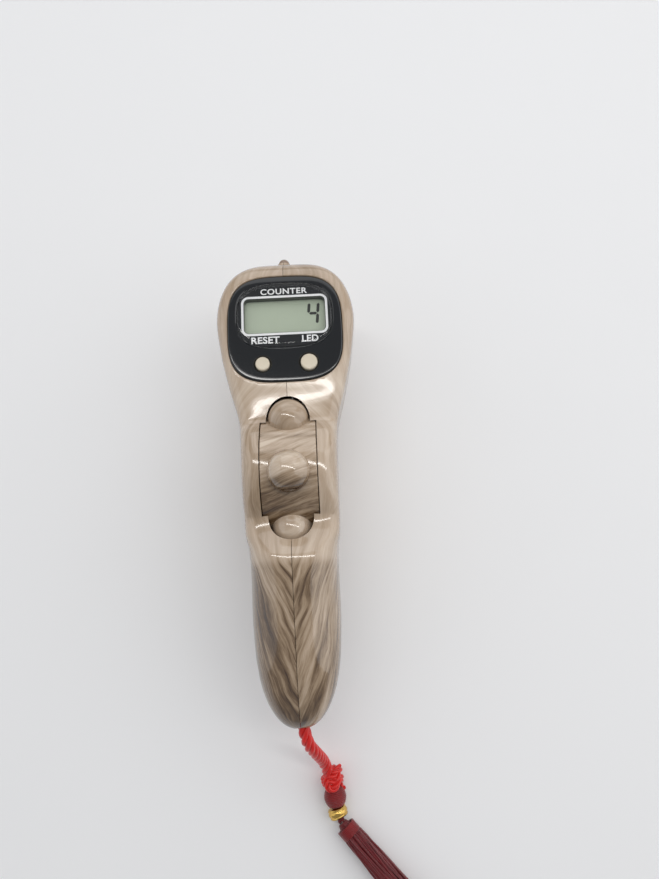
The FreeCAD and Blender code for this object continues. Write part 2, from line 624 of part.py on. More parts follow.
def make_button(name, side):
    x = f"{side} * Dim.button_x"
    radius = f"Dim.{name}_radius"
    outer = f"{radius} + Dim.button_flange"
    foot, flange, top = "Dim.button_foot_z", "Dim.button_flange_z", "Dim.button_top_z"
    cap = turned(f"{name}_cap", [("0", foot), (outer, foot), (outer, flange), (radius, flange),
                                 (radius, top), ("0", top)], x, "Dim.button_y")
    round_edges(cap, 0.3, lambda e: e.BoundBox.ZMin > size("button_top_z") - 1e-3
                and e.BoundBox.XLength > size(f"{name}_radius"))
    sub_part(cap, f"{name}_button")
    half = "Dim.switch_size / 2"
    floor = "Dim.board_z + Dim.board_thick"
    case = block(f"{name}_switch_case", "Dim.switch_size", "Dim.switch_size", "Dim.switch_height",
                 f"{x} - {half}", f"Dim.button_y - {half}", floor)
    well = rod(f"{name}_switch_well", "Dim.plunger_radius + Dim.plunger_gap", "1.2", x, "Dim.button_y",
               f"{floor} + Dim.switch_height - 1.1")
    sub_part(cut(f"{name}_switch_body", case, well), f"{name}_switch")
    start = f"({floor} + Dim.switch_height - 0.4)"
    sub_part(rod(f"{name}_switch_stem", "Dim.plunger_radius", f"Dim.button_foot_z - {start}", x,
                 "Dim.button_y", start), f"{name}_plunger")


def make_torch():
    radius, back, z = "Dim.torch_radius", "Dim.torch_back_y", "Dim.torch_z"
    tip = f"Dim.torch_tip_y - {radius}"
    body = rod("torch_body", radius, f"{tip} - {back}", "0", back, z, "Y")
    flange = rod("torch_flange", "Dim.torch_flange_radius", "Dim.torch_flange_width", "0", back, z, "Y")
    dome = doc.addObject("Part::Sphere", "torch_dome")
    bind(dome, Radius=radius, Placement__Base__y=tip, Placement__Base__z=z)
    sub_part(fuse("torch_lamp", body, flange, dome), "torch_led")
    on_board = "Dim.board_z + Dim.board_thick + Dim.lead_radius"
    leads = [rod(f"lead_{name}", "Dim.lead_radius", f"{back} - Dim.lead_end_y", f"{side} * Dim.lead_x",
                 "Dim.lead_end_y", on_board, "Y") for name, side in (("plus", "1"), ("minus", "-1"))]
    sub_part(group("torch_leads", *leads), "led_leads")


def make_battery():
    for name, side in (("left", "-1"), ("right", "1")):
        step, radius, top = "Dim.cell_radius - Dim.cell_rim", "Dim.cell_radius", "Dim.cell_height"
        low_top = f"{top} - Dim.cell_step"
        cell = turned(f"{name}_cell", [("0", "0"), (radius, "0"), (radius, low_top), (step, low_top),
                                       (step, top), ("0", top)],
                      f"{side} * Dim.cell_x", "Dim.cell_y", "Dim.cell_z")
        sub_part(cell, f"battery_cell_{name}")
        tab_x, tab_y = f"{side} * Dim.cell_x - Dim.tab_width / 2", "Dim.cell_y - Dim.tab_width / 2"
        above = f"Dim.cell_z + {top}"
        plate = block(f"{name}_tab", "Dim.tab_width", "Dim.tab_length", "Dim.leaf", tab_x, tab_y, above)
        riser = block(f"{name}_tab_riser", "Dim.tab_width", "Dim.leaf", f"Dim.board_z - Dim.cell_z - {top}",
                      tab_x, f"{tab_y} + Dim.tab_length", above)
        polarity = "positive" if name == "left" else "negative"
        sub_part(fuse(f"{name}_contact", plate, riser), f"battery_contact_{polarity}")
    strip = block("bridge_strip", "Dim.bridge_length", "Dim.tab_width", "Dim.leaf", "-Dim.bridge_length / 2",
                  "Dim.cell_y - Dim.tab_width / 2", "Dim.cell_z - Dim.leaf")
    sub_part(strip, "battery_bridge")


# ---------------------------------------------------------------- fasteners

def crossed_screw(name, head, shank, recess):
    return cut(name, fuse(name + "_blank", head, shank), fuse(name + "_recess", *recess))


def make_screws():
    screws = []
    for i, (y, z) in enumerate(SCREW_PLACES, start=1):
        outside = "(-Dim.screw_seat_x - Dim.screw_head_height)"
        head = rod(f"screw_head_{i}", "Dim.screw_head_radius", "Dim.screw_head_height", outside, y, z, "X")
        shank = rod(f"screw_shank_{i}", "Dim.screw_radius", "Dim.screw_seat_x + Dim.screw_reach_x",
                    "-Dim.screw_seat_x", y, z, "X")
        recess = [block(f"screw_slot_{i}_{along}", "Dim.recess_depth", wide, high, outside,
                        f"{y} - {wide} / 2", f"{z} - {high} / 2")
                  for along, wide, high in (("y", "Dim.recess_length", "Dim.recess_width"),
                                            ("z", "Dim.recess_width", "Dim.recess_length"))]
        screws.append(crossed_screw(f"case_screw_{i}", head, shank, recess))
    sub_part(group("screws", *screws), "case_screws")
    x, y = DOOR_SCREW_PLACE
    outside = "Dim.door_seat_z - Dim.door_head_height"
    head = rod("door_screw_head", "Dim.door_head_radius", "Dim.door_head_height", x, y, outside)
    shank = rod("door_screw_shank", "Dim.door_screw_radius", "Dim.door_screw_length", x, y,
                "Dim.door_seat_z")
    recess = [block(f"door_slot_{along}", wide, high, "Dim.recess_width", f"{x} - {wide} / 2",
                    f"{y} - {high} / 2", outside)
              for along, wide, high in (("x", "Dim.recess_length * 0.8", "Dim.recess_width"),
                                        ("y", "Dim.recess_width", "Dim.recess_length * 0.8"))]
    sub_part(crossed_screw("cover_screw", head, shank, recess), "door_screw")


# ---------------------------------------------------------------- lanyard

CORD_ROUTE = [(0.0, -56.0, 22.5), (0.7, -63.1, 22.6), (3.3, -67.8, 15.6), (4.9, -71.9, 5.4),
              (6.4, -77.4, 3.3)]
KNOT_WAY, NECK_WAY, SKIRT_WAY = Vector(0.12, -1.0, 0), Vector(0.35, -0.94, 0), Vector(0.66, -0.75, 0)


def tube_path(route):
    """Straight runs joined by tangent arcs; each arc is as large as its two runs allow."""
    points = [Vector(*p) for p in route]
    edges, start, radii = [], points[0], []
    for before, corner, after in zip(points, points[1:], points[2:]):
        inward, outward = (before - corner), (after - corner)
        turn = math.pi - inward.getAngle(outward)
        reach = 0.45 * min(inward.Length, outward.Length)
        inward.normalize()
        outward.normalize()
        radii.append(round(reach / math.tan(turn / 2), 2))
        first, last = corner + inward * reach, corner + outward * reach
        middle_way = (inward + outward).normalize()
        middle = corner + middle_way * (radii[-1] / math.cos(turn / 2) - radii[-1])
        edges.append(Part.LineSegment(start, first).toShape())
        edges.append(Part.Arc(first, middle, last).toShape())
        start = last
    edges.append(Part.LineSegment(start, points[-1]).toShape())
    print("cord radii", radii)
    return Part.Wire(edges)


def make_lanyard():
    sub_part(rod("pin_rod", "Dim.pin_radius", "Dim.pin_length", "-Dim.pin_length / 2", "Dim.pin_y",
                 "Dim.exit_z", "X"), "lanyard_pin")
    path = tube_path(CORD_ROUTE)
    ring = Part.Wire([Part.makeCircle(size("cord_radius"), Vector(*CORD_ROUTE[0]),
                                      path.Edges[0].tangentAt(path.Edges[0].FirstParameter))])
    tube = path.makePipeShell([ring], True, False)
    area = math.pi * size("cord_radius")**2
    print("cord length", round(path.Length, 2), "volume ratio", round(tube.Volume / (area * path.Length), 4))
    sub_part(feature("cord_tube", tube), "lanyard_cord")
    knot = doc.addObject("Part::Ellipsoid", "knot_ball")
    bind(knot, Radius1="Dim.knot_length / 2", Radius2="Dim.knot_radius", Radius3="Dim.knot_radius",
         Angle1="-90", Angle2="90", Angle3="360")
    place(knot, "Dim.knot_x", "Dim.knot_y", "Dim.knot_radius", Rotation(Vector(0, 0, 1), KNOT_WAY))
    sub_part(knot, "lanyard_knot")
    bead_place = ("Dim.tie_bead_x", "Dim.tie_bead_y", "Dim.tie_bead_radius")
    bead = rod("tie_bead_blank", "Dim.tie_bead_radius", "Dim.tie_bead_width", *bead_place)
    hole = rod("tie_bead_hole", "Dim.neck_radius + Dim.running_gap", "Dim.tie_bead_width", *bead_place)
    neck = rod("neck_thread", "Dim.neck_radius", "Dim.neck_length", "Dim.neck_x", "Dim.neck_y",
               "Dim.tie_bead_radius")
    for piece in (bead, hole, neck):
        piece.Placement.Rotation = Rotation(Vector(0, 0, 1), NECK_WAY)
    sub_part(cut("tie_bead_cut", bead, hole), "tassel_bead")
    sub_part(neck, "tassel_neck")
    skirt = doc.addObject("Part::Cone", "skirt_cone")
    bind(skirt, Radius1="Dim.tassel_neck_radius", Radius2="Dim.tassel_end_radius",
         Height="Dim.tassel_length")
    lift = (size("tassel_end_radius") - size("tassel_neck_radius")) / size("tassel_length")
    place(skirt, "Dim.skirt_x", "Dim.skirt_y", "Dim.skirt_z",
          Rotation(Vector(0, 0, 1), SKIRT_WAY + Vector(0, 0, lift)))
    sub_part(skirt, "tassel_skirt")


# ---------------------------------------------------------------- build and write

case_outer, case_inner = half_case(0.0), half_case(size("wall"))
make_case(case_outer, case_inner)
make_bezel()
make_display_window()
make_battery_door(case_outer)
make_wheel()
make_contacts()
make_board()
make_button("reset", -1)
make_button("led", 1)
make_torch()
make_battery()
make_screws()
make_lanyard()
doc.recompute()

for obj in doc.Objects:
    if "Invalid" in obj.State or "Error" in obj.State:
        raise RuntimeError(f"{obj.Label} failed: {obj.State}")
for obj in SUBPARTS:
    if obj.Shape.isNull() or not obj.Shape.isValid():
        raise RuntimeError(f"{obj.Label} has no valid shape")

os.makedirs("parts", exist_ok=True)
for obj in SUBPARTS:
    obj.Shape.exportStep(f"parts/{obj.Label}.step")
    print(obj.Label, len(obj.Shape.Solids), round(obj.Shape.Volume, 2))
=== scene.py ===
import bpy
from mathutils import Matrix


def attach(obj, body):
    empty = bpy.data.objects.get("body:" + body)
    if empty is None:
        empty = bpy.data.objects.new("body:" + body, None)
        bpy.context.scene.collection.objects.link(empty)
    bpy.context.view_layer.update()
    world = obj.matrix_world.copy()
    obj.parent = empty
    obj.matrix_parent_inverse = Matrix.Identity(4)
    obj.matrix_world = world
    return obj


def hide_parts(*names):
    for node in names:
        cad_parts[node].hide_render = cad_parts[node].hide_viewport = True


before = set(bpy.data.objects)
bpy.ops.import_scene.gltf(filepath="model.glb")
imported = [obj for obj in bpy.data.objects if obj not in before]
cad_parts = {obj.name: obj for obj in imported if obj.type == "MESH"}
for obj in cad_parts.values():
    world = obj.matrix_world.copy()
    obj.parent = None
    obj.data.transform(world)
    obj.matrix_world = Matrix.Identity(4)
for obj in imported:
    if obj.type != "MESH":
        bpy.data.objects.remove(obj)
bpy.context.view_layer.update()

import math
import random

import bmesh
import bpy
from mathutils import Matrix, Vector

# Hand tally counter lying on its back. Lengths below are in millimetres in the frame's axes
# (+Y towards the display head, +Z out of the display) and are scaled to metres on the way in.
MM = 0.001
ACROSS, AHEAD, UPWARD = (1, 0, 0), (0, 1, 0), (0, 0, 1)
scene = bpy.context.scene
scene.view_settings.view_transform = "Standard"
random.seed(11)


# -------------------- camera

CAMERA_TILT, CAMERA_ROLL = math.radians(13.5), math.radians(2.8)
CAMERA_PLACE, CAMERA_LENS = Vector((10.1, -30.5, 192.1)) * MM, 27.03

across_view = Vector(ACROSS)
up_view = Vector((0, math.cos(CAMERA_TILT), math.sin(CAMERA_TILT)))
back_view = Vector((0, -math.sin(CAMERA_TILT), math.cos(CAMERA_TILT)))
right = across_view * math.cos(CAMERA_ROLL) - up_view * math.sin(CAMERA_ROLL)
up = across_view * math.sin(CAMERA_ROLL) + up_view * math.cos(CAMERA_ROLL)
camera_data = bpy.data.cameras.new("camera")
camera_data.lens = CAMERA_LENS
camera_data.sensor_width = 36
camera_data.clip_start, camera_data.clip_end = 0.01, 10
camera = bpy.data.objects.new("camera", camera_data)
scene.collection.objects.link(camera)
turn = Matrix((right, up, back_view)).transposed()
camera.matrix_world = Matrix.Translation(CAMERA_PLACE) @ turn.to_4x4()
scene.camera = camera


# -------------------- mesh helpers

def add_mesh(name, points, faces, smooth_angle=40):
    """A mesh object from points in millimetres."""
    mesh = bpy.data.meshes.new(name)
    mesh.from_pydata([Vector(p) * MM for p in points], [], faces)
    mesh.validate()
    obj = bpy.data.objects.new(name, mesh)
    scene.collection.objects.link(obj)
    finish_shading(obj, smooth_angle)
    return obj


def finish_shading(obj, smooth_angle):
    """Outward normals, smooth except at edges sharper than the angle."""
    mesh = obj.data
    work = bmesh.new()
    work.from_mesh(mesh)
    bmesh.ops.recalc_face_normals(work, faces=work.faces)
    work.to_mesh(mesh)
    work.free()
    mesh.shade_smooth()
    mesh.set_sharp_from_angle(angle=math.radians(smooth_angle))


def settle(obj, body, slot, material, *replaced):
    """Give a finished piece its body, its material and the nodes it stands for; the slot is not used."""
    obj.data.materials.clear()
    obj.data.materials.append(material)
    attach(obj, body)
    if replaced:
        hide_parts(*replaced)
    return obj


def rings_to_faces(count, sides):
    """Quads between rings of points, with a polygon over each end."""
    faces = []
    for i in range(count - 1):
        for j in range(sides):
            k = (j + 1) % sides
            faces.append((i * sides + j, i * sides + k, (i + 1) * sides + k, (i + 1) * sides + j))
    faces.append(tuple(range(sides)))
    faces.append(tuple((count - 1) * sides + j for j in range(sides)))
    return faces


def turned(radius, height, angle):
    """The place on a turned profile at an angle about +Z."""
    return Vector((radius * math.cos(angle), radius * math.sin(angle), height))


def lathe(name, profile, centre, axis, sides=96, smooth_angle=40):
    """A solid turned about an axis; the profile is (radius, height), ends closed."""
    turn_to = Vector(UPWARD).rotation_difference(Vector(axis).normalized()).to_matrix()
    points = []
    for radius, height in profile:
        for j in range(sides):
            points.append(Vector(centre) + turn_to @ turned(radius, height, 2 * math.pi * j / sides))
    return add_mesh(name, points, rings_to_faces(len(profile), sides), smooth_angle)


def ring_solid(name, profile, centre, axis, sides):
    """A ring turned about an axis from a closed profile that stays off the axis."""
    turn_to = Vector(UPWARD).rotation_difference(Vector(axis).normalized()).to_matrix()
    count = len(profile)
    points, faces = [], []
    for j in range(sides):
        for radius, height in profile:
            points.append(Vector(centre) + turn_to @ turned(radius, height, 2 * math.pi * j / sides))
    for j in range(sides):
        for i in range(count):
            n, m = (i + 1) % count, (j + 1) % sides
            faces.append((j * count + i, j * count + n, m * count + n, m * count + i))
    return add_mesh(name, points, faces)


def boolean(obj, tool, operation):
    """Cut, join or keep what two solids share, and drop the tool."""
    modifier = obj.modifiers.new("cut", "BOOLEAN")
    modifier.operation = operation
    modifier.solver = "MANIFOLD"
    modifier.object = tool
    bpy.context.view_layer.update()
    mesh = bpy.data.meshes.new_from_object(obj.evaluated_get(bpy.context.evaluated_depsgraph_get()))
    obj.modifiers.clear()
    obj.data = mesh
    bpy.data.objects.remove(tool)


def cut(obj, tool):
    boolean(obj, tool, "DIFFERENCE")


def arc(cx, cy, radius, start, end, steps):
    """Points along an arc, its ends given in degrees."""
    angles = [math.radians(start + (end - start) * i / steps) for i in range(steps + 1)]
    return [(cx + radius * math.cos(a), cy + radius * math.sin(a)) for a in angles]


def superellipse(half_width, half_height, power, centre_y, sides=160):
    """An outline between an ellipse and a rectangle; a higher power is squarer."""
    outline = []
    for j in range(sides):
        a = 2 * math.pi * j / sides
        c, s = math.cos(a), math.sin(a)
        reach = (abs(c)**power + abs(s)**power) ** (-1 / power)
        outline.append((half_width * reach * c, centre_y + half_height * reach * s))
    return outline


def stacked(name, outlines, smooth_angle=40):
    """A solid from outlines, each a list of (x, y, z) with the same count."""
    points = [p for outline in outlines for p in outline]
    return add_mesh(name, points, rings_to_faces(len(outlines), len(outlines[0])), smooth_angle)


def prism(name, outline, low, high):
    """A straight solid over an outline in the plane of the table."""
    return stacked(name, [[(x, y, low) for x, y in outline], [(x, y, high) for x, y in outline]])


def rounded_rectangle(width, height, corner, centre_y, steps=8, centre_x=0.0):
    outline = []
    for sx, sy, start in ((1, 1, 0), (-1, 1, 90), (-1, -1, 180), (1, -1, 270)):
        corner_x = centre_x + sx * (width / 2 - corner)
        corner_y = centre_y + sy * (height / 2 - corner)
        outline += arc(corner_x, corner_y, corner, start, start + 90, steps)
    return outline


def drilled(name, radius, x0, x1, y, z):
    """A round bar across the case, from x0 to x1."""
    return lathe(name, [(radius, x0), (radius, x1)], (0, y, z), ACROSS, 48)


def tube(points, radius, sides=8, phase=0.0):
    """Points and faces of a round tube along a line; the radius is fixed or a function of the share."""
    rings, faces = [], []
    normal = None
    count = len(points)
    for i, p in enumerate(points):
        ahead = points[min(i + 1, count - 1)] - points[max(i - 1, 0)]
        ahead.normalize()
        if normal is None:
            normal = ahead.orthogonal().normalized()
        normal = (normal - ahead * normal.dot(ahead)).normalized()
        side = ahead.cross(normal)
        r = radius(i / (count - 1)) if callable(radius) else radius
        for j in range(sides):
            a = phase + 2 * math.pi * j / sides
            rings.append(p + (normal * math.cos(a) + side * math.sin(a)) * r)
    return rings, rings_to_faces(count, sides)


def merged(parts):
    """One list of points and faces from several."""
    points, faces = [], []
    for some_points, some_faces in parts:
        start = len(points)
        points += some_points
        faces += [tuple(start + i for i in face) for face in some_faces]
    return points, faces


# -------------------- case surface, as in the CAD model

HALF_WIDTH = [(-60.5, 9.4), (-45, 10.3), (-32, 10.95), (-22, 10.9), (-17.5, 11.1), (-14, 11.75),
              (-6, 11.9), (7, 12.15), (13, 12.6), (23, 15.1), (33, 17.2), (42, 18.2), (58, 18.2)]
FRONT = [(-60.5, 29.0), (-54, 30.4), (-44, 32.6), (-34, 34.6), (-25, 36.6), (-20.6, 37.0),
         (-18.5, 36.15), (-16.1, 34.5), (-13.4, 33.65), (-11, 33.45), (8, 33.35), (14, 33.5),
         (18.8, 33.65), (22.8, 34.0), (28, 34.3), (58, 34.2)]
BACK = [(-60.5, 15.4), (-50, 14.0), (-40, 12.0), (-30, 9.6), (-22, 6.6), (-15, 2.6), (-9, 0.2),
        (-5, -0.35), (5, -0.45), (15, -0.4), (19, 0.1), (23, 3.5), (28, 10.5), (34, 15.2), (42, 16.6),
        (58, 16.8)]
WAIST = [(-60.5, 22.6), (-30, 22.5), (0, 24.0), (30, 26.0), (58, 26.0)]
FRONT_SQUARENESS = [(-60.5, 2.2), (-30, 2.3), (-24, 2.5), (-20.5, 3.0), (-17.5, 3.8), (-15, 6.0),
                    (12, 6.0), (24, 5.8), (58, 5.6)]
BACK_SQUARENESS = [(-60.5, 2.2), (-20, 2.4), (0, 3.0), (25, 3.2), (40, 4.5), (58, 4.5)]
HEAD_TOP_Y, HALF_LENGTH = 58.0, 60.5
HEAD_ROUND_Y, HEAD_EDGE_Y = 39.3, 50.0
TAIL_ROUND_Y, TAIL_EDGE_Y = -41.0, -46.0
WHEEL_Y, WHEEL_Z, DRUM_RADIUS, HUMP_RADIUS, HUMP_BLEND = 1.0, 22.8, 15.7, 15.9, 0.6
WALL = 1.6


def blend(stations, y):
    """A smooth curve through (y, value) stations that never overshoots them."""
    ys = [s[0] for s in stations]
    vs = [s[1] for s in stations]
    if y <= ys[0]:
        return vs[0]
    if y >= ys[-1]:
        return vs[-1]
    slopes = [(vs[i + 1] - vs[i]) / (ys[i + 1] - ys[i]) for i in range(len(ys) - 1)]
    tangents = [slopes[0]]
    for before, after in zip(slopes, slopes[1:]):
        tangents.append(2 * before * after / (before + after) if before * after > 0 else 0.0)
    tangents.append(slopes[-1])
    i = max(k for k in range(len(ys) - 1) if ys[k] <= y)
    span = ys[i + 1] - ys[i]
    t = (y - ys[i]) / span
    return (vs[i] * (2 * t**3 - 3 * t**2 + 1) + vs[i + 1] * (3 * t**2 - 2 * t**3)
            + span * (tangents[i] * (t**3 - 2 * t**2 + t) + tangents[i + 1] * (t**3 - t**2)))


def eased(stations, y, reach=1.1):
    """The same curve with its bends spread a little, so that reflections run smoothly."""
    return (blend(stations, y - reach) + 2 * blend(stations, y) + blend(stations, y + reach)) / 4


def rounding(y, start, end, power):
    """The share of full size left at y, falling from 1 at start to 0 at end."""
    t = (y - start) / (end - start)
    return 1.0 if t <= 0 else max(1 - t**power, 0.0) ** (1 / power)


def section(y, inset):
    """Half width, waist height, rise above it and drop below it at one place along the case."""
    head_end, tail_end = HEAD_TOP_Y - inset, -HALF_LENGTH + inset
    wide = rounding(y, HEAD_ROUND_Y, head_end, 2.5) * rounding(y, TAIL_ROUND_Y, tail_end, 2.3)
    tall = rounding(y, HEAD_EDGE_Y, head_end, 2.4) * rounding(y, TAIL_EDGE_Y, tail_end, 2.2)
    front = eased(FRONT, y)
    reach = HUMP_RADIUS**2 - (y - WHEEL_Y)**2
    hump = WHEEL_Z + math.sqrt(reach) if reach > 0 else 0.0
    front = 0.5 * (front + hump + math.hypot(front - hump, HUMP_BLEND))
    waist = eased(WAIST, y)
    half_width = (eased(HALF_WIDTH, y) - inset) * wide
    return half_width, waist, (front - inset - waist) * tall, (waist - eased(BACK, y) - inset) * tall


def front_height(x, y, inset):
    """Height of the case's front at a place."""
    half_width, waist, rise, _ = section(y, inset)
    power = eased(FRONT_SQUARENESS, y)
    share = min(abs(x) / half_width, 0.999)
    return waist + rise * (1 - share**power) ** (1 / power)


def case_solid(name, inset, step_y, steps):
    """The whole case as a closed solid, inset from the outside."""
    head_end, tail_end = HEAD_TOP_Y - inset, -HALF_LENGTH + inset
    ends = [88 * (1 - (1 - i / 26) ** 1.4) for i in range(1, 27)]
    ys = [tail_end + (TAIL_ROUND_Y - tail_end) * (1 - math.sin(math.radians(a))) for a in reversed(ends)]
    count = round((HEAD_ROUND_Y - TAIL_ROUND_Y) / step_y)
    ys += [TAIL_ROUND_Y + (HEAD_ROUND_Y - TAIL_ROUND_Y) * i / count for i in range(count + 1)]
    ys += [HEAD_ROUND_Y + (head_end - HEAD_ROUND_Y) * math.sin(math.radians(a)) for a in ends]
    rings = []
    for y in ys:
        half_width, waist, rise, drop = section(y, inset)
        front_power, back_power = eased(FRONT_SQUARENESS, y), eased(BACK_SQUARENESS, y)
        ring = []
        for i in range(steps):
            a = 2 * math.pi * i / steps
            c, s = math.cos(a), math.sin(a)
            power, height = (front_power, rise) if s >= 0 else (back_power, drop)
            reach = (abs(c)**power + abs(s)**power) ** (-1 / power)
            ring.append((half_width * reach * c, y, waist + height * reach * s))
        rings.append(ring)
    return stacked(name, rings)


# -------------------- cord and tassel

CORD_ROUTE = [(0.0, -56.0, 22.5), (0.7, -63.1, 22.6), (3.3, -67.8, 15.6), (4.9, -71.9, 5.4),
              (6.4, -77.4, 3.3)]
CORD_RADIUS, CORD_PITCH, CORD_STRANDS = 1.55, 9.6, 4


def smooth_line(name, route, resolution=24):
    """Points along the NURBS line that has the route as its control points."""
    curve = bpy.data.curves.new(name, "CURVE")
    curve.dimensions = "3D"
    spline = curve.splines.new("NURBS")
    spline.points.add(len(route) - 1)
    for point, place in zip(spline.points, route):
        point.co = (*(Vector(place) * MM), 1)
    spline.order_u = 3
    spline.use_endpoint_u = True
    spline.resolution_u = resolution
    holder = bpy.data.objects.new(name, curve)
    scene.collection.objects.link(holder)
    mesh = bpy.data.meshes.new_from_object(holder)
    points = [v.co / MM for v in mesh.vertices]
    bpy.data.objects.remove(holder)
    return points


def measured(points):
    """Length along a line of points."""
    return sum((b - a).length for a, b in zip(points, points[1:]))


def resampled(points, spacing):
    """The same line with evenly spaced points."""
    total = measured(points)
    count = max(2, round(total / spacing))
    result, walked, i = [points[0].copy()], 0.0, 0
    for n in range(1, count):
        target = total * n / count
        while walked + (points[i + 1] - points[i]).length < target:
            walked += (points[i + 1] - points[i]).length
            i += 1
        step = (points[i + 1] - points[i]).length
        result.append(points[i].lerp(points[i + 1], (target - walked) / step))
    result.append(points[-1].copy())
    return result


def twisted(points, radius, pitch, strands, sides=10, spacing=0.25):
    """Strands laid round a line, as points and faces."""
    line = resampled(points, spacing)
    lay = radius * {2: 0.5, 3: 0.5359, 4: 0.5858}[strands]
    thick = radius - lay
    paths = [[] for _ in range(strands)]
    normal, walked = None, 0.0
    for i, p in enumerate(line):
        ahead = (line[min(i + 1, len(line) - 1)] - line[max(i - 1, 0)]).normalized()
        if normal is None:
            normal = ahead.orthogonal().normalized()
        normal = (normal - ahead * normal.dot(ahead)).normalized()
        side = ahead.cross(normal)
        walked += (line[i] - line[i - 1]).length if i else 0.0
        for k in range(strands):
            a = 2 * math.pi * (k / strands + walked / pitch)
            paths[k].append(p + (normal * math.cos(a) + side * math.sin(a)) * lay)
    return merged([tube(path, thick, sides) for path in paths])


cord_line = smooth_line("cord_line", CORD_ROUTE)
cord_points, cord_faces = twisted(cord_line, CORD_RADIUS, CORD_PITCH, CORD_STRANDS, 14)
cord = add_mesh("lanyard_cord_strands", cord_points, cord_faces, 60)


# -------------------- materials

def srgb(r, g, b):
    """Linear colour from display values of 0 to 255."""
    shares = (c / 255 for c in (r, g, b))
    return tuple(c / 12.92 if c <= 0.04 else ((c + 0.055) / 1.055) ** 2.4 for c in shares) + (1.0,)


class Nodes:
    """Short ways to add and link nodes in one material."""

    def __init__(self, name):
        self.material = bpy.data.materials.new(name)
        self.material.use_nodes = True
        self.tree = self.material.node_tree
        self.shader = self.tree.nodes["Principled BSDF"]

    def link(self, value, socket):
        if isinstance(value, bpy.types.NodeSocket):
            self.tree.links.new(value, socket)
        else:
            socket.default_value = value

    def math(self, operation, a, b=0.0, clamp=False):
        node = self.tree.nodes.new("ShaderNodeMath")
        node.operation = operation
        node.use_clamp = clamp
        self.link(a, node.inputs[0])
        self.link(b, node.inputs[1])
        return node.outputs[0]

    def place(self):
        return self.tree.nodes.new("ShaderNodeTexCoord").outputs["Object"]

    def stretch(self, vector, scale):
        node = self.tree.nodes.new("ShaderNodeMapping")
        self.link(vector, node.inputs["Vector"])
        node.inputs["Scale"].default_value = scale
        return node.outputs[0]

    def noise(self, vector, scale, detail=3.0, rough=0.5):
        node = self.tree.nodes.new("ShaderNodeTexNoise")
        self.link(vector, node.inputs["Vector"])
        node.inputs["Scale"].default_value = scale
        node.inputs["Detail"].default_value = detail
        node.inputs["Roughness"].default_value = rough
        return node.outputs["Fac"]

    def attribute(self, name):
        node = self.tree.nodes.new("ShaderNodeAttribute")
        node.attribute_name = name
        return node.outputs["Fac"]

    def vector(self, x, y, z):
        node = self.tree.nodes.new("ShaderNodeCombineXYZ")
        for value, socket in zip((x, y, z), node.inputs):
            self.link(value, socket)
        return node.outputs[0]

    def ramp(self, value, stops):
        node = self.tree.nodes.new("ShaderNodeValToRGB")
        self.link(value, node.inputs[0])
        elements = node.color_ramp.elements
        while len(elements) < len(stops):
            elements.new(0.5)
        for element, (at, colour) in zip(elements, stops):
            element.position = at
            element.color = colour
        return node.outputs["Color"]

    def remap(self, value, low, high, to_low, to_high):
        node = self.tree.nodes.new("ShaderNodeMapRange")
        for number, socket in zip((value, low, high, to_low, to_high), node.inputs):
            self.link(number, socket)
        return node.outputs[0]

    def mix(self, share, a, b):
        node = self.tree.nodes.new("ShaderNodeMix")
        node.data_type = "RGBA"
        self.link(share, node.inputs["Factor"])
        self.link(a, node.inputs["A"])
        self.link(b, node.inputs["B"])
        return node.outputs["Result"]

    def bump(self, height, distance, strength=1.0):
        node = self.tree.nodes.new("ShaderNodeBump")
        self.link(height, node.inputs["Height"])
        node.inputs["Distance"].default_value = distance
        node.inputs["Strength"].default_value = strength
        self.tree.links.new(node.outputs[0], self.shader.inputs["Normal"])

    def set(self, **values):
        for name, value in values.items():
            self.link(value, self.shader.inputs[name.replace("_", " ")])
        return self


def wood_print(name, spread=1.0):
    """Gloss plastic with a wood pattern printed on, from the grain attributes of the mesh."""
    n = Nodes(name)
    across, along, tone_and_shade = n.attribute("across"), n.attribute("along"), n.attribute("tone_and_shade")

    def layer(line, across_scale, along_scale, seed, detail, rough=0.5):
        """Noise drawn out along the grain, less its mean."""
        u = n.math("MULTIPLY", line, across_scale)
        v = n.math("MULTIPLY", along, along_scale)
        return n.math("SUBTRACT", n.noise(n.vector(u, v, seed), 1.0, detail, rough), 0.5)

    warp = layer(across, 0.10, 0.055, 3.0, 2.0)
    moved = n.math("ADD", across, n.math("MULTIPLY", warp, 7.0 * spread))
    pattern = layer(moved, 0.16, 0.022, 1.0, 2.0)
    fibre = layer(moved, 3.4, 0.3, 5.0, 3.0, 0.65)
    streak = layer(moved, 0.7, 0.05, 7.0, 4.0, 0.62)
    speck = layer(moved, 1.9, 0.5, 9.0, 4.0, 0.7)
    for noise, weight in ((streak, 1.5), (fibre, 0.36), (speck, 0.2)):
        pattern = n.math("ADD", pattern, n.math("MULTIPLY", noise, weight))
    # The tone attribute carries painted light and shade along with the print's own tone.
    value = n.math("ADD", tone_and_shade, n.math("MULTIPLY", pattern, n.attribute("vigour")), True)
    colour = n.ramp(value, [(0.05, srgb(212, 194, 173)), (0.32, srgb(188, 166, 143)),
                            (0.55, srgb(158, 135, 109)), (0.76, srgb(110, 87, 63)),
                            (0.96, srgb(66, 46, 32))])
    # Painted shade: the base colour darkens towards dark brown where the surface turns away from the
    # camera, and the coat and specular fade there, drawing a dark outline at the edges.
    facing = n.tree.nodes.new("ShaderNodeLayerWeight")
    facing.inputs["Blend"].default_value = 0.5
    rim = n.math("POWER", facing.outputs["Facing"], 4.0)
    n.set(Base_Color=n.mix(n.math("MULTIPLY", rim, 0.75), colour, srgb(74, 54, 40)),
          Roughness=n.remap(fibre, -0.2, 0.2, 0.13, 0.18), Coat_Roughness=0.05,
          Coat_Weight=n.math("SUBTRACT", 1.0, n.math("MULTIPLY", rim, 0.9)),
          Specular_IOR_Level=n.math("SUBTRACT", 0.5, n.math("MULTIPLY", rim, 0.4)))
    n.bump(n.noise(n.place(), 260.0, 2.0), 0.00002, 0.35)
    return n.material


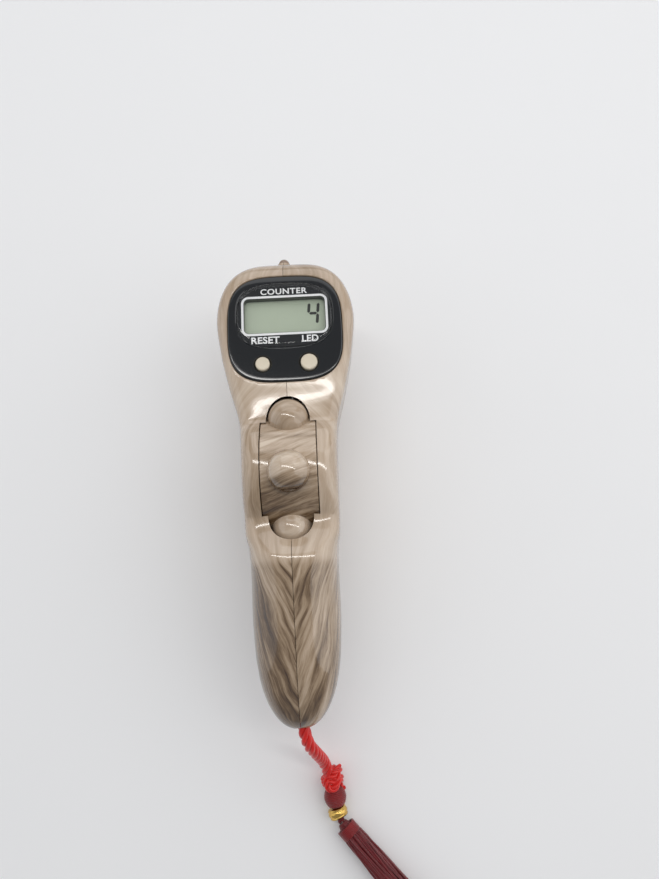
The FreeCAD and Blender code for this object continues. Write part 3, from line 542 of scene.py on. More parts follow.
def plastic(name, colour, roughness, variation=0.06, scale=900.0, coat=0.0, bump=0.00001):
    """Moulded plastic, rubber or resin with a little mottling and a fine surface."""
    n = Nodes(name)
    mottle = n.noise(n.place(), scale * 0.3, 3.0)
    grain = n.noise(n.place(), scale * 2.2, 2.0)
    dark = tuple(c * (1 - 3 * variation) for c in colour[:3]) + (1.0,)
    light = tuple(min(1.0, c * (1 + variation)) for c in colour[:3]) + (1.0,)
    n.set(Base_Color=n.mix(mottle, dark, light), Coat_Weight=coat, Coat_Roughness=0.03,
          Roughness=n.remap(grain, 0.25, 0.75, roughness * 0.85, roughness * 1.2))
    n.bump(grain, bump, 0.5)
    return n.material


def brushed(name, colour, roughness, along=(1, 0.05, 1)):
    """Metal with fine lines, drawn out along the axis whose scale is small."""
    n = Nodes(name)
    lines = n.noise(n.stretch(n.place(), along), 4200.0, 3.0)
    dark = tuple(c * 0.72 for c in colour[:3]) + (1.0,)
    n.set(Base_Color=n.mix(lines, dark, colour), Metallic=1.0,
          Roughness=n.remap(lines, 0.3, 0.7, roughness * 0.8, roughness * 1.3))
    n.bump(lines, 0.00001, 0.4)
    return n.material


def thread(name, dark, light, roughness, sheen):
    """Satin thread: fine uneven filaments and broader patches with a soft sheen."""
    n = Nodes(name)
    filament = n.noise(n.place(), 2600.0, 3.0, 0.6)
    patch = n.noise(n.place(), 420.0, 2.0)
    n.set(Base_Color=n.mix(n.math("MULTIPLY", n.math("ADD", filament, patch), 0.5), dark, light),
          Roughness=n.remap(filament, 0.3, 0.7, roughness * 0.8, roughness * 1.25),
          Sheen_Weight=sheen, Sheen_Roughness=0.35)
    n.bump(filament, 0.00006, 0.6)
    return n.material


WOOD = wood_print("wood_print")
BEAD_WOOD = wood_print("bead_wood_print", 0.5)
BEZEL_BLACK = plastic("bezel_black", srgb(16, 19, 23), 0.10, 0.05, coat=0.5, bump=0.000002)
CREAM = plastic("cream_plastic", srgb(226, 214, 192), 0.34, 0.05)
POM = plastic("acetal_white", srgb(232, 230, 222), 0.42)
DARK = plastic("switch_black", srgb(26, 26, 28), 0.45)
EPOXY = plastic("epoxy_black", srgb(14, 14, 15), 0.3)
RUBBER = plastic("grey_rubber", srgb(92, 92, 94), 0.7)
BOARD = plastic("green_board", srgb(22, 92, 48), 0.38, 0.12)
WIRE = plastic("wire_red", srgb(190, 26, 20), 0.4)
LCD = plastic("lcd_grey_green", srgb(186, 198, 176), 0.4, 0.02, 500.0)
INK = plastic("lcd_ink", srgb(34, 38, 32), 0.5)
PRINT = plastic("white_print", srgb(245, 246, 246), 0.5, 0.02)
RESIN = plastic("led_resin", srgb(142, 118, 100), 0.16, 0.1, coat=0.5)
STEEL = brushed("steel", srgb(190, 190, 192), 0.28)
BRASS = brushed("spring_brass", srgb(205, 170, 95), 0.3)
GOLD = brushed("gold_bead", srgb(236, 196, 110), 0.2, (1, 1, 0.1))
RED = thread("red_satin", srgb(176, 8, 10), srgb(238, 36, 26), 0.34, 0.35)
DEEP_RED = thread("deep_red_thread", srgb(88, 5, 11), srgb(150, 12, 18), 0.42, 0.4)
MAROON = thread("maroon_thread", srgb(62, 5, 12), srgb(128, 14, 24), 0.48, 0.5)


def clear_lens():
    """Clear plastic: what is behind shows unbent, with gloss on top."""
    n = Nodes("clear_lens")
    faint = n.noise(n.place(), 300.0, 2.0)
    n.set(Base_Color=n.mix(faint, srgb(200, 208, 212), srgb(214, 220, 222)), Roughness=0.04, Alpha=0.12)
    clear = n.tree.nodes.new("ShaderNodeBsdfTransparent")
    gloss = n.tree.nodes.new("ShaderNodeBsdfGlossy")
    gloss.inputs["Roughness"].default_value = 0.03
    bend = n.tree.nodes.new("ShaderNodeFresnel")
    bend.inputs["IOR"].default_value = 1.5
    inside = n.tree.nodes.new("ShaderNodeNewGeometry").outputs["Backfacing"]
    mixed = n.tree.nodes.new("ShaderNodeMixShader")
    n.link(n.math("MULTIPLY", bend.outputs[0], n.math("SUBTRACT", 1.0, inside)), mixed.inputs[0])
    n.link(clear.outputs[0], mixed.inputs[1])
    n.link(gloss.outputs[0], mixed.inputs[2])
    n.link(mixed.outputs[0], n.tree.nodes["Material Output"].inputs["Surface"])
    return n.material


LENS = clear_lens()


# -------------------- grain of the printed wood

GRAIN_SLOPE = [(-60, 0.20), (-46, 0.34), (-32, 0.48), (-23, 0.62), (-19, 0.15), (-4, 0.0), (8, -0.05),
               (13, -0.95), (19, -1.1), (25, -0.35), (33, -0.05), (60, 0.0)]
# Print tone along each half with painted light and shade in it: lighter below the head and on the ledge
# above the handle, darker below the wheel and down the handle.
PRINT_AND_SHADE_LEFT = [(-60, 0.72), (-40, 0.74), (-27, 0.68), (-23, 0.6), (-20.5, 0.28), (-14, 0.34), (-6, 0.54),
             (6, 0.4), (14, 0.3), (22, 0.2), (36, 0.3), (60, 0.34)]
PRINT_AND_SHADE_RIGHT = [(-60, 0.60), (-40, 0.60), (-27, 0.55), (-23, 0.48), (-20.5, 0.22), (-14, 0.28), (-6, 0.36),
              (6, 0.34), (14, 0.36), (22, 0.2), (36, 0.38), (60, 0.4)]
VIGOUR = [(-60, 1.0), (-24, 1.0), (-20, 0.55), (8, 0.6), (16, 0.5), (26, 0.4), (60, 0.35)]
GRAIN_LOW, GRAIN_HIGH, GRAIN_STEP = -64.0, 64.0, 0.25
LEFT_PRINT_SHIFT = 40.0


def running_total(stations, low, high, step):
    """The running integral of a curve, one value for each step."""
    total, y, rows = 0.0, low, []
    while y <= high:
        rows.append(total)
        total += blend(stations, y) * step
        y += step
    return rows


SLOPE_SUM = running_total(GRAIN_SLOPE, GRAIN_LOW, GRAIN_HIGH, GRAIN_STEP)


def set_attributes(obj, rows):
    """Store (across, along, tone with painted shade, vigour) on each vertex for the wood print."""
    for index, name in enumerate(("across", "along", "tone_and_shade", "vigour")):
        attribute = obj.data.attributes.get(name) or obj.data.attributes.new(name, "FLOAT", "POINT")
        attribute.data.foreach_set("value", [row[index] for row in rows])


def grain_of_case(obj, side):
    """Grain that runs down the handle towards the seam, mirrored from half to half."""
    rows = []
    # The tone tables hold painted light and shade as well as the print's own tone.
    print_and_shade = PRINT_AND_SHADE_LEFT if side < 0 else PRINT_AND_SHADE_RIGHT
    for v in obj.data.vertices:
        x, y, z = v.co / MM
        place = (y - GRAIN_LOW) / GRAIN_STEP
        i = min(max(int(place), 0), len(SLOPE_SUM) - 2)
        lean = SLOPE_SUM[i] + (SLOPE_SUM[i + 1] - SLOPE_SUM[i]) * (place - i)
        front = blend(FRONT, y)
        round_side = abs(x) + 0.9 * max(0.0, front - z)
        shift = LEFT_PRINT_SHIFT if side < 0 else 0.0
        rows.append((round_side - lean + shift, y + 0.3 * z, blend(print_and_shade, y), blend(VIGOUR, y)))
    set_attributes(obj, rows)


# -------------------- case halves

PANEL = {"half_width": 14.7, "half_height": 14.45, "power": 3.3, "centre_y": 37.55}
LENS_SHAPE = {"half_width": 12.3, "half_height": 8.8, "power": 3.0, "centre_y": 41.15}
DOOR = {"half_width": 13.2, "half_height": 9.0, "power": 6.0, "centre_y": 40.0}
VIEW_Y, VIEW_WIDTH, VIEW_HEIGHT = 41.55, 21.0, 9.6
BUTTON_Y, BUTTON_X = 27.9, 5.9
BUTTON_RADII = {-1: 1.82, 1: 2.12}
SCREW_PLACES = [(26.5, 19.5), (53.0, 21.0), (-29.0, 22.5), (-46.5, 23.5)]
DOOR_SCREW = (10.5, 46.6)
SCREW_SHAFT, SCREW_THREAD, SCREW_HEAD, BOSS_RADIUS = 1.15, 1.0, 2.2, 3.1
TORCH_Z, EXIT_Z, PIN_Y = 27.2, 22.5, -55.5
SLOT_HALF, SLOT_RADIUS, BEAD_ROOM = 7.05, 16.05, 5.55
PANEL_GAP, SEAM_HALF = 0.12, 0.06
FAR = 80.0
ALL_ROUND = [(-90, -90), (90, -90), (90, 90), (-90, 90)]


def outline_of(shape, margin):
    """The outline of a shape, grown by a margin."""
    return superellipse(shape["half_width"] + margin, shape["half_height"] + margin, shape["power"],
                        shape["centre_y"])


def scaled_outline(shape, margin, share):
    """The outline of a shape, grown by a margin and then shrunk to a share about its centre."""
    return superellipse((shape["half_width"] + margin) * share, (shape["half_height"] + margin) * share,
                        shape["power"], shape["centre_y"])


def panel_opening():
    """The hole for the inlay, with a softened lip that follows the front of the case."""
    steps = [(0.12, -0.45), (0.15, -0.26), (0.22, -0.13), (0.34, -0.04), (0.52, 0.02), (0.8, 0.12)]
    outlines = [[(x, y, 28.4) for x, y in outline_of(PANEL, PANEL_GAP)]]
    for margin, lift in steps:
        outlines.append([(x, y, front_height(x, y, 0.0) + lift) for x, y in outline_of(PANEL, margin)])
    outlines.append([(x, y, FAR) for x, y in outline_of(PANEL, 0.8)])
    return stacked("panel_tool", outlines)


def window_tools():
    """What the turning wheel and its beads need clear."""
    centre = (0, WHEEL_Y, WHEEL_Z)
    profile = [(0.05, -SLOT_HALF), (SLOT_RADIUS, -SLOT_HALF), (SLOT_RADIUS, SLOT_HALF), (0.05, SLOT_HALF)]
    drum = lathe("drum_tool", profile, centre, ACROSS, 240)
    ring = [(DRUM_RADIUS + r, h) for r, h in arc(0, 0, BEAD_ROOM, 0, 360, 72)[:-1]]
    beads = ring_solid("bead_tool", ring, centre, ACROSS, 240)
    return [drum, beads]


def bosses(left):
    """The round posts inside a half that hold the axle, the screws and the cord's pin."""
    solids = [drilled("boss", 3.0, 9.0, 40.0, WHEEL_Y, WHEEL_Z)]
    solids += [drilled("boss", BOSS_RADIUS, 0.0, 40.0, y, z) for y, z in SCREW_PLACES]
    solids.append(drilled("boss", 2.0, 2.4, 40.0, PIN_Y, EXIT_Z))
    if not left:
        solids.append(lathe("boss", [(1.9, 19.7), (1.9, 25.1)], (*DOOR_SCREW, 0), UPWARD, 32))
    return solids


def holes(left):
    """Everything cut out of a half, made for the right and the same in the left before it is mirrored."""
    beyond_seam = [(-90, -90), (SEAM_HALF, -90), (SEAM_HALF, 90), (-90, 90)]
    exit_profile = [(2.45, 0), (2.05, 6.2), (2.05, 8)]
    tools = window_tools()
    tools.append(panel_opening())
    tools.append(prism("door_tool", outline_of(DOOR, PANEL_GAP), -40, 19.6))
    tools.append(lathe("exit_tool", exit_profile, (0, -66.0, EXIT_Z), AHEAD, 48))
    tools.append(lathe("torch_tool", [(1.54, 0), (1.54, 12)], (0, 50.0, TORCH_Z), AHEAD, 48))
    tools.append(prism("floor_tool", ALL_ROUND, -40, 0))
    tools.append(prism("seam_tool", beyond_seam, -60, 90))
    for y, z in SCREW_PLACES:
        if left:
            tools.append(drilled("screw_tool", SCREW_SHAFT, -1, 40, y, z))
            tools.append(drilled("bore_tool", SCREW_HEAD, 7.0, 40.0, y, z))
        else:
            tools.append(drilled("screw_tool", SCREW_THREAD, -1, 7.0, y, z))
    if not left:
        tools.append(lathe("door_screw_tool", [(0.9, 18.5), (0.9, 23.5)], (*DOOR_SCREW, 0), UPWARD, 24))
    return tools


def torch_collar():
    """The small cone of the case round the lamp."""
    low = HEAD_TOP_Y - 0.7
    steps = [(2.3, -0.8), (2.1, 0.0), (1.98, 0.6), (1.86, 1.1), (1.78, 1.4), (1.64, 1.5)]
    return lathe("collar", [(r, low + h) for r, h in steps], (0, 0, TORCH_Z), AHEAD, 64)


def case_half(name, left):
    """One half of the clamshell; the left one is made on the right and mirrored."""
    half = case_solid(name, 0.0, 0.6, 180)
    inner = case_solid("inside", WALL, 1.2, 96)
    core = prism("core", ALL_ROUND, -60, 90)
    boolean(core, case_solid("keep", 0.0, 1.2, 96), "INTERSECT")
    cut(half, inner)
    for boss in bosses(left):
        keep = core.copy()
        keep.data = core.data.copy()
        scene.collection.objects.link(keep)
        boolean(boss, keep, "INTERSECT")
        boolean(half, boss, "UNION")
    bpy.data.objects.remove(core)
    boolean(half, torch_collar(), "UNION")
    for tool in holes(left):
        cut(half, tool)
    if left:
        half.data.transform(Matrix.Scale(-1, 4, ACROSS))
    finish_shading(half, 32)
    return half


left_half = case_half("left_case_half", True)
right_half = case_half("right_case_half", False)
for half, side, node in ((left_half, -1, "left_shell"), (right_half, 1, "right_shell")):
    grain_of_case(half, side)
    settle(half, "case", "wood_print_gloss", WOOD, node)


# -------------------- display inlay and lens

def inlay():
    """The gloss panel: its front follows the case, with a rounded rim, and a flange holds it behind."""
    rim_width = 1.2
    rounded = [(rim_width, 0.0), (0.42, 0.0), (0.25, 0.02), (0.14, 0.06), (0.06, 0.13), (0.02, 0.21),
               (0.0, 0.3)]
    flange_top, flange_low, flange_reach = 31.5, 30.6, 0.9

    def top(x, y):
        """Flatter than the case, so that the corners stand a little proud."""
        return 0.2 * front_height(x, y, PANEL_GAP) + 0.8 * front_height(0, max(y, 28.0), PANEL_GAP)

    rings = []
    for share in [i / 14 for i in range(1, 14)]:
        rings.append([(x, y, top(x, y)) for x, y in scaled_outline(PANEL, -rim_width, share)])
    for inward, drop in rounded:
        rings.append([(x, y, top(x, y) - drop) for x, y in outline_of(PANEL, -inward)])
    rings.append([(x, y, flange_top) for x, y in outline_of(PANEL, 0.0)])
    rings.append([(x, y, flange_top) for x, y in outline_of(PANEL, flange_reach)])
    rings.append([(x, y, flange_low) for x, y in outline_of(PANEL, flange_reach)])
    panel = stacked("display_inlay", rings)
    view = rounded_rectangle(VIEW_WIDTH, VIEW_HEIGHT, 1.2, VIEW_Y)
    cut(panel, prism("view_tool", view, 28, FAR))
    seat = [(0.08, 33.0), (0.08, 33.7), (0.14, 33.85), (0.3, 33.98), (0.55, 34.2), (0.55, FAR)]
    seat_rings = [[(x, y, z) for x, y in outline_of(LENS_SHAPE, margin)] for margin, z in seat]
    cut(panel, stacked("seat_tool", seat_rings))
    pocket = rounded_rectangle(25.3, 13.9, 0.4, VIEW_Y)
    cut(panel, prism("pocket_tool", pocket, 28, 31.25))
    for side, radius in BUTTON_RADII.items():
        r = radius + 0.14
        profile = [(r, 28), (r, 33.75), (r + 0.08, 33.9), (r + 0.22, 34.02), (r + 0.45, 34.2),
                   (r + 0.45, FAR)]
        button_hole = lathe("button_tool", profile, (side * BUTTON_X, BUTTON_Y, 0), UPWARD, 64)
        cut(panel, button_hole)
    finish_shading(panel, 32)
    return panel


settle(inlay(), "case", "black_gloss", BEZEL_BLACK, "display_bezel")

LENS_LOW, LENS_HIGH, LENS_BEVEL, LENS_DOME = 33.08, 34.8, 0.9, 0.045
LENS_EDGE = [(0.0, 1.6), (0.0, 0.5), (0.04, 0.36), (0.12, 0.25), (0.3, 0.165), (0.55, 0.085),
             (LENS_BEVEL, LENS_DOME)]
lens_rings = [[(x, y, LENS_LOW) for x, y in outline_of(LENS_SHAPE, -0.1)]]
for inward, drop in LENS_EDGE:
    lens_rings.append([(x, y, LENS_HIGH - drop) for x, y in outline_of(LENS_SHAPE, -inward)])
for share in [1 - i / 14 for i in range(1, 14)]:
    ring_outline = scaled_outline(LENS_SHAPE, -LENS_BEVEL, share)
    lens_rings.append([(x, y, LENS_HIGH - LENS_DOME * share**2) for x, y in ring_outline])
settle(stacked("clear_display_window", lens_rings, 60), "case", "clear_lens", LENS, "display_window")

PRINT_Z = 33.02


def flat_outline_ring(name, outer, inner, z, thick):
    """A printed line between two outlines with the same number of points."""
    count = len(outer)
    points = ([(x, y, z) for x, y in outer] + [(x, y, z) for x, y in inner]
              + [(x, y, z + thick) for x, y in outer] + [(x, y, z + thick) for x, y in inner])
    faces = []
    for j in range(count):
        k = (j + 1) % count
        low_out, low_in, high_out, high_in = [(n * count + j, n * count + k) for n in range(4)]
        faces += [(*high_out, high_in[1], high_in[0]), (*reversed(low_out), *low_in),
                  (*low_out, high_out[1], high_out[0]), (*reversed(low_in), *high_in)]
    return add_mesh(name, points, faces)


frame_line = flat_outline_ring("display_frame_line", rounded_rectangle(22.5, 11.0, 1.9, VIEW_Y),
                               rounded_rectangle(21.3, 9.8, 1.35, VIEW_Y), PRINT_Z, 0.03)
settle(frame_line, "case", "clear_lens", PRINT)


def lettering(name, words, size, x, y, weight, spacing, stretch=1.0):
    """Flat printed words, as a mesh, centred on a place; stretch makes them wider."""
    text = bpy.data.curves.new(name, "FONT")
    text.body = words
    text.size = size
    text.align_x, text.align_y = "CENTER", "CENTER"
    text.space_character = spacing
    text.offset = weight
    text.extrude = 0.015
    text.resolution_u = 6
    holder = bpy.data.objects.new(name, text)
    scene.collection.objects.link(holder)
    mesh = bpy.data.meshes.new_from_object(holder)
    bpy.data.objects.remove(holder)
    place = Vector((x, y, PRINT_Z + text.extrude)) * MM
    mesh.transform(Matrix.Translation(place) @ Matrix.Diagonal((MM * stretch, MM, MM, 1)))
    work = bmesh.new()
    work.from_mesh(mesh)
    bmesh.ops.remove_doubles(work, verts=work.verts, dist=1e-7)
    work.to_mesh(mesh)
    work.free()
    obj = bpy.data.objects.new(name, mesh)
    scene.collection.objects.link(obj)
    settle(obj, "case", "clear_lens", PRINT)


lettering("reset_label", "RESET", 2.5, -5.2, 34.65, 0.06, 1.04, 1.08)
lettering("led_label", "LED", 2.5, 6.4, 34.7, 0.06, 1.02)
lettering("counter_label", "COUNTER", 2.2, -0.1, 48.15, 0.05, 1.1, 1.1)

SEGMENTS = {"b": (1, 0.5, 1, 1), "c": (1, 0, 1, 0.5), "f": (0, 0.5, 0, 1), "g": (0, 0.5, 1, 0.5)}
DIGIT_WIDTH, DIGIT_HEIGHT, SEGMENT_HALF, SEGMENT_GAP, DIGIT_LEAN = 2.4, 6.0, 0.38, 0.12, 0.09
INK_LOW, INK_HIGH = 31.21, 31.24


def digit(x, y, lit):
    """The lit bars of one seven-bar digit; each bar is a thin hexagon."""
    parts = []
    for key in lit:
        x0, y0, x1, y1 = SEGMENTS[key]
        start = Vector((x0 * DIGIT_WIDTH, y0 * DIGIT_HEIGHT))
        end = Vector((x1 * DIGIT_WIDTH, y1 * DIGIT_HEIGHT))
        way = (end - start).normalized()
        side = Vector((-way.y, way.x)) * SEGMENT_HALF
        start, end = start + way * SEGMENT_GAP, end - way * SEGMENT_GAP
        inner = [start, start + way * SEGMENT_HALF + side, end - way * SEGMENT_HALF + side, end,
                 end - way * SEGMENT_HALF - side, start + way * SEGMENT_HALF - side]
        rings = [(x + p.x + DIGIT_LEAN * p.y, y + p.y, z) for z in (INK_LOW, INK_HIGH) for p in inner]
        parts.append((rings, rings_to_faces(2, len(inner))))
    return parts


ink_points, ink_faces = merged(digit(5.95, VIEW_Y - 2.1, "bcfg"))
settle(add_mesh("display_digit", ink_points, ink_faces), "case", "lcd_glass", INK)


# -------------------- buttons and light

BUTTON_TOP, BUTTON_EDGE = 34.75, 0.42


def button_cap(word, side, radius):
    """A slightly domed cap with a flange that keeps it behind the panel."""
    shoulder = BUTTON_TOP - 0.5
    profile = [(radius + 0.62, 29.4), (radius + 0.65, 29.45), (radius + 0.65, 30.3), (radius, 30.3),
               (radius, shoulder)]
    profile += arc(radius - BUTTON_EDGE, shoulder, BUTTON_EDGE, 0, 90, 6)[1:]
    dome = ((0.6, 0.055), (0.35, 0.025), (0.12, 0.005))
    profile += [(radius * share, BUTTON_TOP - drop) for share, drop in dome]
    return lathe(f"{word}_button_cap", profile, (side * BUTTON_X, BUTTON_Y, 0), UPWARD, 72)


for word, (side, radius) in zip(("reset", "led"), BUTTON_RADII.items()):
    cap = button_cap(word, side, radius)
    settle(cap, f"{word}_key", "cream_plastic", CREAM, f"{word}_button")

TORCH_TIP, TORCH_RADIUS = 60.35, 1.5
lamp_profile = [(1.85, 53.2), (1.9, 53.25), (1.9, 54.1), (TORCH_RADIUS, 54.1)]
lamp_profile += arc(0, TORCH_TIP - TORCH_RADIUS, TORCH_RADIUS, 0, 84, 14) + [(0.08, TORCH_TIP)]
lamp = lathe("torch_lamp", lamp_profile, (0, 0, TORCH_Z), AHEAD, 64)
settle(lamp, "case", "led_resin", RESIN, "torch_led")


# -------------------- wheel

def grain_of_wheel(obj, lean):
    """Bands across the wheel; the pattern is made from the angle round the axle."""
    rows = []
    for v in obj.data.vertices:
        x, y, z = v.co / MM
        angle = math.degrees(math.atan2(y - WHEEL_Y, z - WHEEL_Z))
        rows.append((math.radians(angle) * DRUM_RADIUS + lean * x, 1.2 * x, drum_tone_and_shade(angle), 1.0))
    set_attributes(obj, rows)


def drum_tone_and_shade(angle):
    """How dark the print is at an angle round the axle; the darker bands just below the beads are printed
    bands with the painted shadow of the beads in them.
    """
    return blend([(-180, 0.45), (-60, 0.5), (-36, 0.72), (-22, 0.62), (-8, 0.42), (12, 0.3), (22, 0.26),
                  (27.5, 0.6), (32, 0.34), (50, 0.4), (110, 0.5), (180, 0.45)], angle)


rim = [(1.55, -6.8), (4.2, -6.8), (4.2, -1.0), (12.6, -1.0), (12.6, -6.88), (15.45, -6.88), (15.58, -6.84),
       (15.67, -6.75), (DRUM_RADIUS, -6.62)]
drum_profile = rim + [(DRUM_RADIUS, h) for h in (-5, -3, -1, 1, 3, 5)] + [(r, -h) for r, h in reversed(rim)]
drum = ring_solid("wheel_drum", drum_profile, (0, WHEEL_Y, WHEEL_Z), ACROSS, 300)
grain_of_wheel(drum, -0.34)
settle(drum, "wheel", "bead_print_gloss", BEAD_WOOD, "counting_drum")

BEAD_RADIUS, BEAD_TILT, BEAD_COUNT = 5.15, 6.4, 6
bead_profile = [(1.98, -2.9), (2.0, -2.8), (2.0, -1.3), (4.9, -1.3)]
bead_profile += arc(0, 0, BEAD_RADIUS, -12, 85.5, 26) + [(0.06, BEAD_RADIUS)]


def grain_of_bead(bead, seat, way, k):
    """A print of its own on each bead; the first is marked more strongly, and each bead gets painted shade
    towards its lower side, strongest on the first.
    """
    strength, painted_shade = (0.6, 0.03) if k else (1.0, 0.15)
    tangent = Vector((0, way.z, -way.y))
    rows = []
    for v in bead.data.vertices:
        local = v.co / MM - seat
        u, w, h = local.x, local.dot(tangent), local.dot(way)
        rows.append((w - 0.32 * u + 0.12 * u * u / BEAD_RADIUS + 0.15 * h + 31.0 + 13.7 * k,
                     0.9 * u + 5.0 * k, 0.3 + painted_shade * max(0.0, -w - 0.5), strength))
    set_attributes(bead, rows)


for k in range(BEAD_COUNT):
    turn_angle = math.radians(BEAD_TILT + 360 / BEAD_COUNT * k)
    way = Vector((0, -math.sin(turn_angle), math.cos(turn_angle)))
    seat = Vector((0, WHEEL_Y, WHEEL_Z)) + way * DRUM_RADIUS
    bead = lathe(f"count_bead_{k + 1}", bead_profile, seat, way, 96, 50)
    grain_of_bead(bead, seat, way, k)
    settle(bead, "wheel", "bead_print_gloss", BEAD_WOOD, f"bead_{k + 1}")


# -------------------- battery door

door_top = 1.4 + blend(BACK, DOOR["centre_y"]) + 0.25
door = case_solid("battery_door_panel", 0.0, 0.6, 180)
boolean(door, prism("door_keep", outline_of(DOOR, 0.0), -40, door_top), "INTERSECT")
for radius, top in ((1.0, 40), (1.68, 17.7)):
    cut(door, lathe("hole", [(radius, 0), (radius, top)], (*DOOR_SCREW, 0), UPWARD, 32))
for i in range(4):
    groove = rounded_rectangle(9.0, 0.55, 0.26, 34.2 + 1.15 * i, 6, -1.0)
    cut(door, prism("groove", groove, 0, 16.95))
finish_shading(door, 32)
grain_of_case(door, -1)
settle(door, "case", "wood_print_gloss", WOOD, "battery_door")


# -------------------- lanyard, knot, ring and tassel

settle(cord, "case", "red_satin_cord", RED, "lanyard_cord")

KNOT_CENTRE, KNOT_WAY = Vector((6.75, -78.3, 3.3)), Vector((0.12, -1.0, 0)).normalized()
knot_side = Vector((1, 0.12, 0)).normalized()
knot_up = Vector(UPWARD)


def knot_point(along, across, height):
    """A place in the knot's own directions."""
    return KNOT_CENTRE + KNOT_WAY * along + knot_side * across + knot_up * height


LOOP_TURNS, LOOP_STEPS = 2, 72
loop = []
for i in range(LOOP_STEPS + 1):
    t = 2 * math.pi * LOOP_TURNS * i / LOOP_STEPS
    along = -4.3 + 5.2 * i / LOOP_STEPS + 0.9 * math.sin(t * 0.5)
    loop.append(knot_point(along, 1.9 * math.cos(t), 1.72 * math.sin(t)))
wrap = twisted(loop, 1.22, 7.0, 4, 10, 0.25)
OVER_ROUTE = [(-4.6, 0.4, 0.4), (-3.4, 1.6, 1.4), (-1.2, 1.3, 2.05), (0.4, -0.2, 2.1), (-0.6, -1.5, 1.9),
              (-2.6, -1.3, 1.7), (-3.9, -0.3, 1.0)]
over_line = smooth_line("knot_line", [knot_point(*place) for place in OVER_ROUTE])
knot_points, knot_faces = merged([wrap, twisted(over_line, 1.05, 6.5, 4, 10, 0.22)])
knot = add_mesh("lanyard_knot_wraps", knot_points, knot_faces, 60)
settle(knot, "case", "red_satin_cord", RED, "lanyard_knot")


def bound_head():
    """The lower part of the knot, wound closely with darker thread."""
    turns, per_turn = 11, 26

    def bulge(t, swell):
        return 1.0 + swell * math.sin(math.pi * (0.12 + 0.8 * t)) ** 0.7

    path = []
    for i in range(turns * per_turn + 1):
        t = i / (turns * per_turn)
        a = 2 * math.pi * turns * t
        path.append(knot_point(0.3 + 4.4 * t, bulge(t, 1.65) * math.cos(a), bulge(t, 1.65) * math.sin(a)))
    core = [knot_point(0.4 + 0.42 * i, 0, 0) for i in range(11)]
    return merged([tube(path, 0.27, 10), tube(core, lambda t: bulge(t, 1.6), 24)])


head_points, head_faces = bound_head()
settle(add_mesh("knot_binding", head_points, head_faces, 60), "case", "maroon_thread", DEEP_RED)

RING_PLACE, NECK_WAY = Vector((7.1, -83.35, 2.6)), Vector((0.35, -0.94, 0)).normalized()
ring_profile = [(1.08, 0.1), (1.3, 0.0), (1.9, 0.0), (2.25, 0.12), (2.42, 0.4), (2.3, 0.62), (2.42, 0.8),
                (2.58, 1.3), (2.42, 1.8), (2.3, 1.98), (2.42, 2.2), (2.25, 2.48), (1.9, 2.6), (1.3, 2.6),
                (1.08, 2.5)]
ring = ring_solid("tassel_ring", ring_profile, RING_PLACE, NECK_WAY, 72)
settle(ring, "case", "gold_bead", GOLD, "tassel_bead")

neck_start = Vector((6.8, -82.55, 2.6))
neck_line = [neck_start + NECK_WAY * (4.6 * i / 20) for i in range(21)]
neck_points, neck_faces = twisted(neck_line, 0.98, 2.4, 3, 8, 0.2)
neck = add_mesh("tassel_neck_cord", neck_points, neck_faces, 60)
settle(neck, "case", "maroon_thread", MAROON, "tassel_neck")

SKIRT_START = Vector((8.6, -87.15, 2.75))
skirt_way = (Vector((0.66, -0.75, 0)).normalized() + Vector((0, 0, 0.0425 * 0.6))).normalized()
skirt_side = skirt_way.cross(Vector(UPWARD)).normalized()
skirt_up = skirt_side.cross(skirt_way)
SKIRT_LENGTH = 39.5


def tassel_threads(count):
    """Threads that leave the binding together, swell over it and hang slightly apart."""
    parts = []
    for n in range(count):
        a = 2 * math.pi * n * 0.618034
        share = math.sqrt((n + 0.5) / count)
        end_share = min(1.0, share * random.uniform(0.9, 1.06))
        swing = random.uniform(-0.35, 0.35)
        reach = SKIRT_LENGTH * random.uniform(0.95, 1.0)
        line = []
        for i in range(19):
            t = i / 18
            spread = 0.95 + 1.45 * math.sin(min(1.0, t * 7) * math.pi / 2) + 1.45 * t
            r = spread * (share * (1 - t) + end_share * t)
            angle = a + swing * t + 0.12 * math.sin(9 * t + n)
            wave = 0.07 * math.sin(14 * t + 1.7 * n)
            p = SKIRT_START + skirt_way * (reach * t) + skirt_side * ((r + wave) * math.cos(angle))
            p = p + skirt_up * ((r + wave) * math.sin(angle))
            p.z = max(p.z, 0.3)
            line.append(p)
        parts.append(tube(line, 0.24, 5, n))
    return merged(parts)


skirt_points, skirt_faces = tassel_threads(190)
skirt = add_mesh("tassel_threads", skirt_points, skirt_faces, 60)
settle(skirt, "case", "maroon_thread", MAROON, "tassel_skirt")

BAND_TURNS, BAND_STEPS, BAND_RADIUS = 8, 24, 2.42
band_path = []
for i in range(BAND_TURNS * BAND_STEPS + 1):
    a = 2 * math.pi * i / BAND_STEPS
    outward = skirt_side * math.cos(a) + skirt_up * math.sin(a)
    along = 1.1 + 2.6 * i / (BAND_TURNS * BAND_STEPS)
    band_path.append(SKIRT_START + skirt_way * along + outward * BAND_RADIUS)
band_points, band_faces = tube(band_path, 0.2, 8)
settle(add_mesh("tassel_band", band_points, band_faces, 60), "case", "maroon_thread", DEEP_RED)


# -------------------- finish of the kept CAD nodes

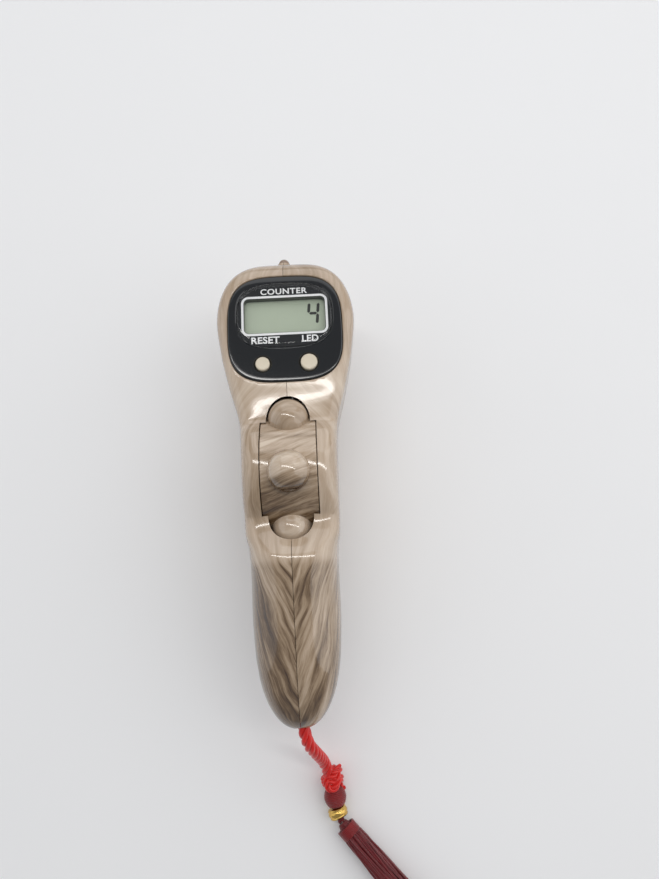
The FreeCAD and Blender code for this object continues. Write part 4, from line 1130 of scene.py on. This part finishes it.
KEPT = [
    (POM, ("detent_star", "count_star")),
    (STEEL, ("wheel_axle", "led_leads", "battery_cell_left", "battery_cell_right", "case_screws",
             "door_screw", "lanyard_pin")),
    (BRASS, ("detent_spring", "count_contact_spring", "count_contact_blade", "battery_contact_positive",
             "battery_contact_negative", "battery_bridge")),
    (WIRE, ("contact_wires",)),
    (BOARD, ("circuit_board",)),
    (LCD, ("lcd_panel",)),
    (RUBBER, ("lcd_connector_strips",)),
    (EPOXY, ("controller_chip",)),
    (DARK, ("reset_switch", "reset_plunger", "led_switch", "led_plunger")),
]
for material, nodes in KEPT:
    for node in nodes:
        for material_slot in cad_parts[node].material_slots:
            material_slot.material = material


# -------------------- floor and light

floor_material = plastic("floor", srgb(246, 246, 247), 0.7, 0.004, 20.0)
floor = add_mesh("floor", [(-900, -900, 0), (900, -900, 0), (900, 900, 0), (-900, 900, 0)], [(0, 1, 2, 3)])
floor.data.materials.append(floor_material)

world = bpy.data.worlds.new("studio")
world.use_nodes = True
sky = world.node_tree.nodes["Background"]
sky.inputs["Color"].default_value = (0.95, 0.97, 1.0, 1)
sky.inputs["Strength"].default_value = 0.34
scene.world = world


WHEEL_PLACE = Vector((0, WHEEL_Y, WHEEL_Z)) * MM
KEY_WHITE, TOP_WHITE = (1.0, 0.985, 0.96), (0.98, 0.99, 1.0)


def area_light(name, place, size_x, size_y, power, colour=(1, 1, 1)):
    """A rectangular light turned to the wheel."""
    data = bpy.data.lights.new(name, "AREA")
    data.shape = "RECTANGLE"
    data.size, data.size_y = size_x, size_y
    data.energy = power
    data.color = colour
    light = bpy.data.objects.new(name, data)
    scene.collection.objects.link(light)
    light.location = place
    light.rotation_mode = "QUATERNION"
    light.rotation_quaternion = (WHEEL_PLACE - Vector(place)).to_track_quat("-Z", "Y")


def from_wheel(toward_head, toward_right, distance):
    """A place seen from the wheel at angles from straight up."""
    a, b = math.radians(toward_head), math.radians(toward_right)
    way = Vector((math.sin(b), math.sin(a) * math.cos(b), math.cos(a) * math.cos(b)))
    return tuple(WHEEL_PLACE + way * distance)


area_light("key_strip", from_wheel(11, 3, 0.6), 0.9, 0.03, 0.7, KEY_WHITE)
area_light("key_glow", from_wheel(11, 3, 0.61), 0.9, 0.07, 0.5, KEY_WHITE)
area_light("soft_top", from_wheel(56, 6, 0.9), 1.2, 0.8, 2.6, TOP_WHITE)
area_light("left_fill", from_wheel(10, -70, 0.8), 0.9, 0.9, 1.3)
area_light("right_fill", from_wheel(0, 66, 0.8), 0.9, 0.9, 2.4)
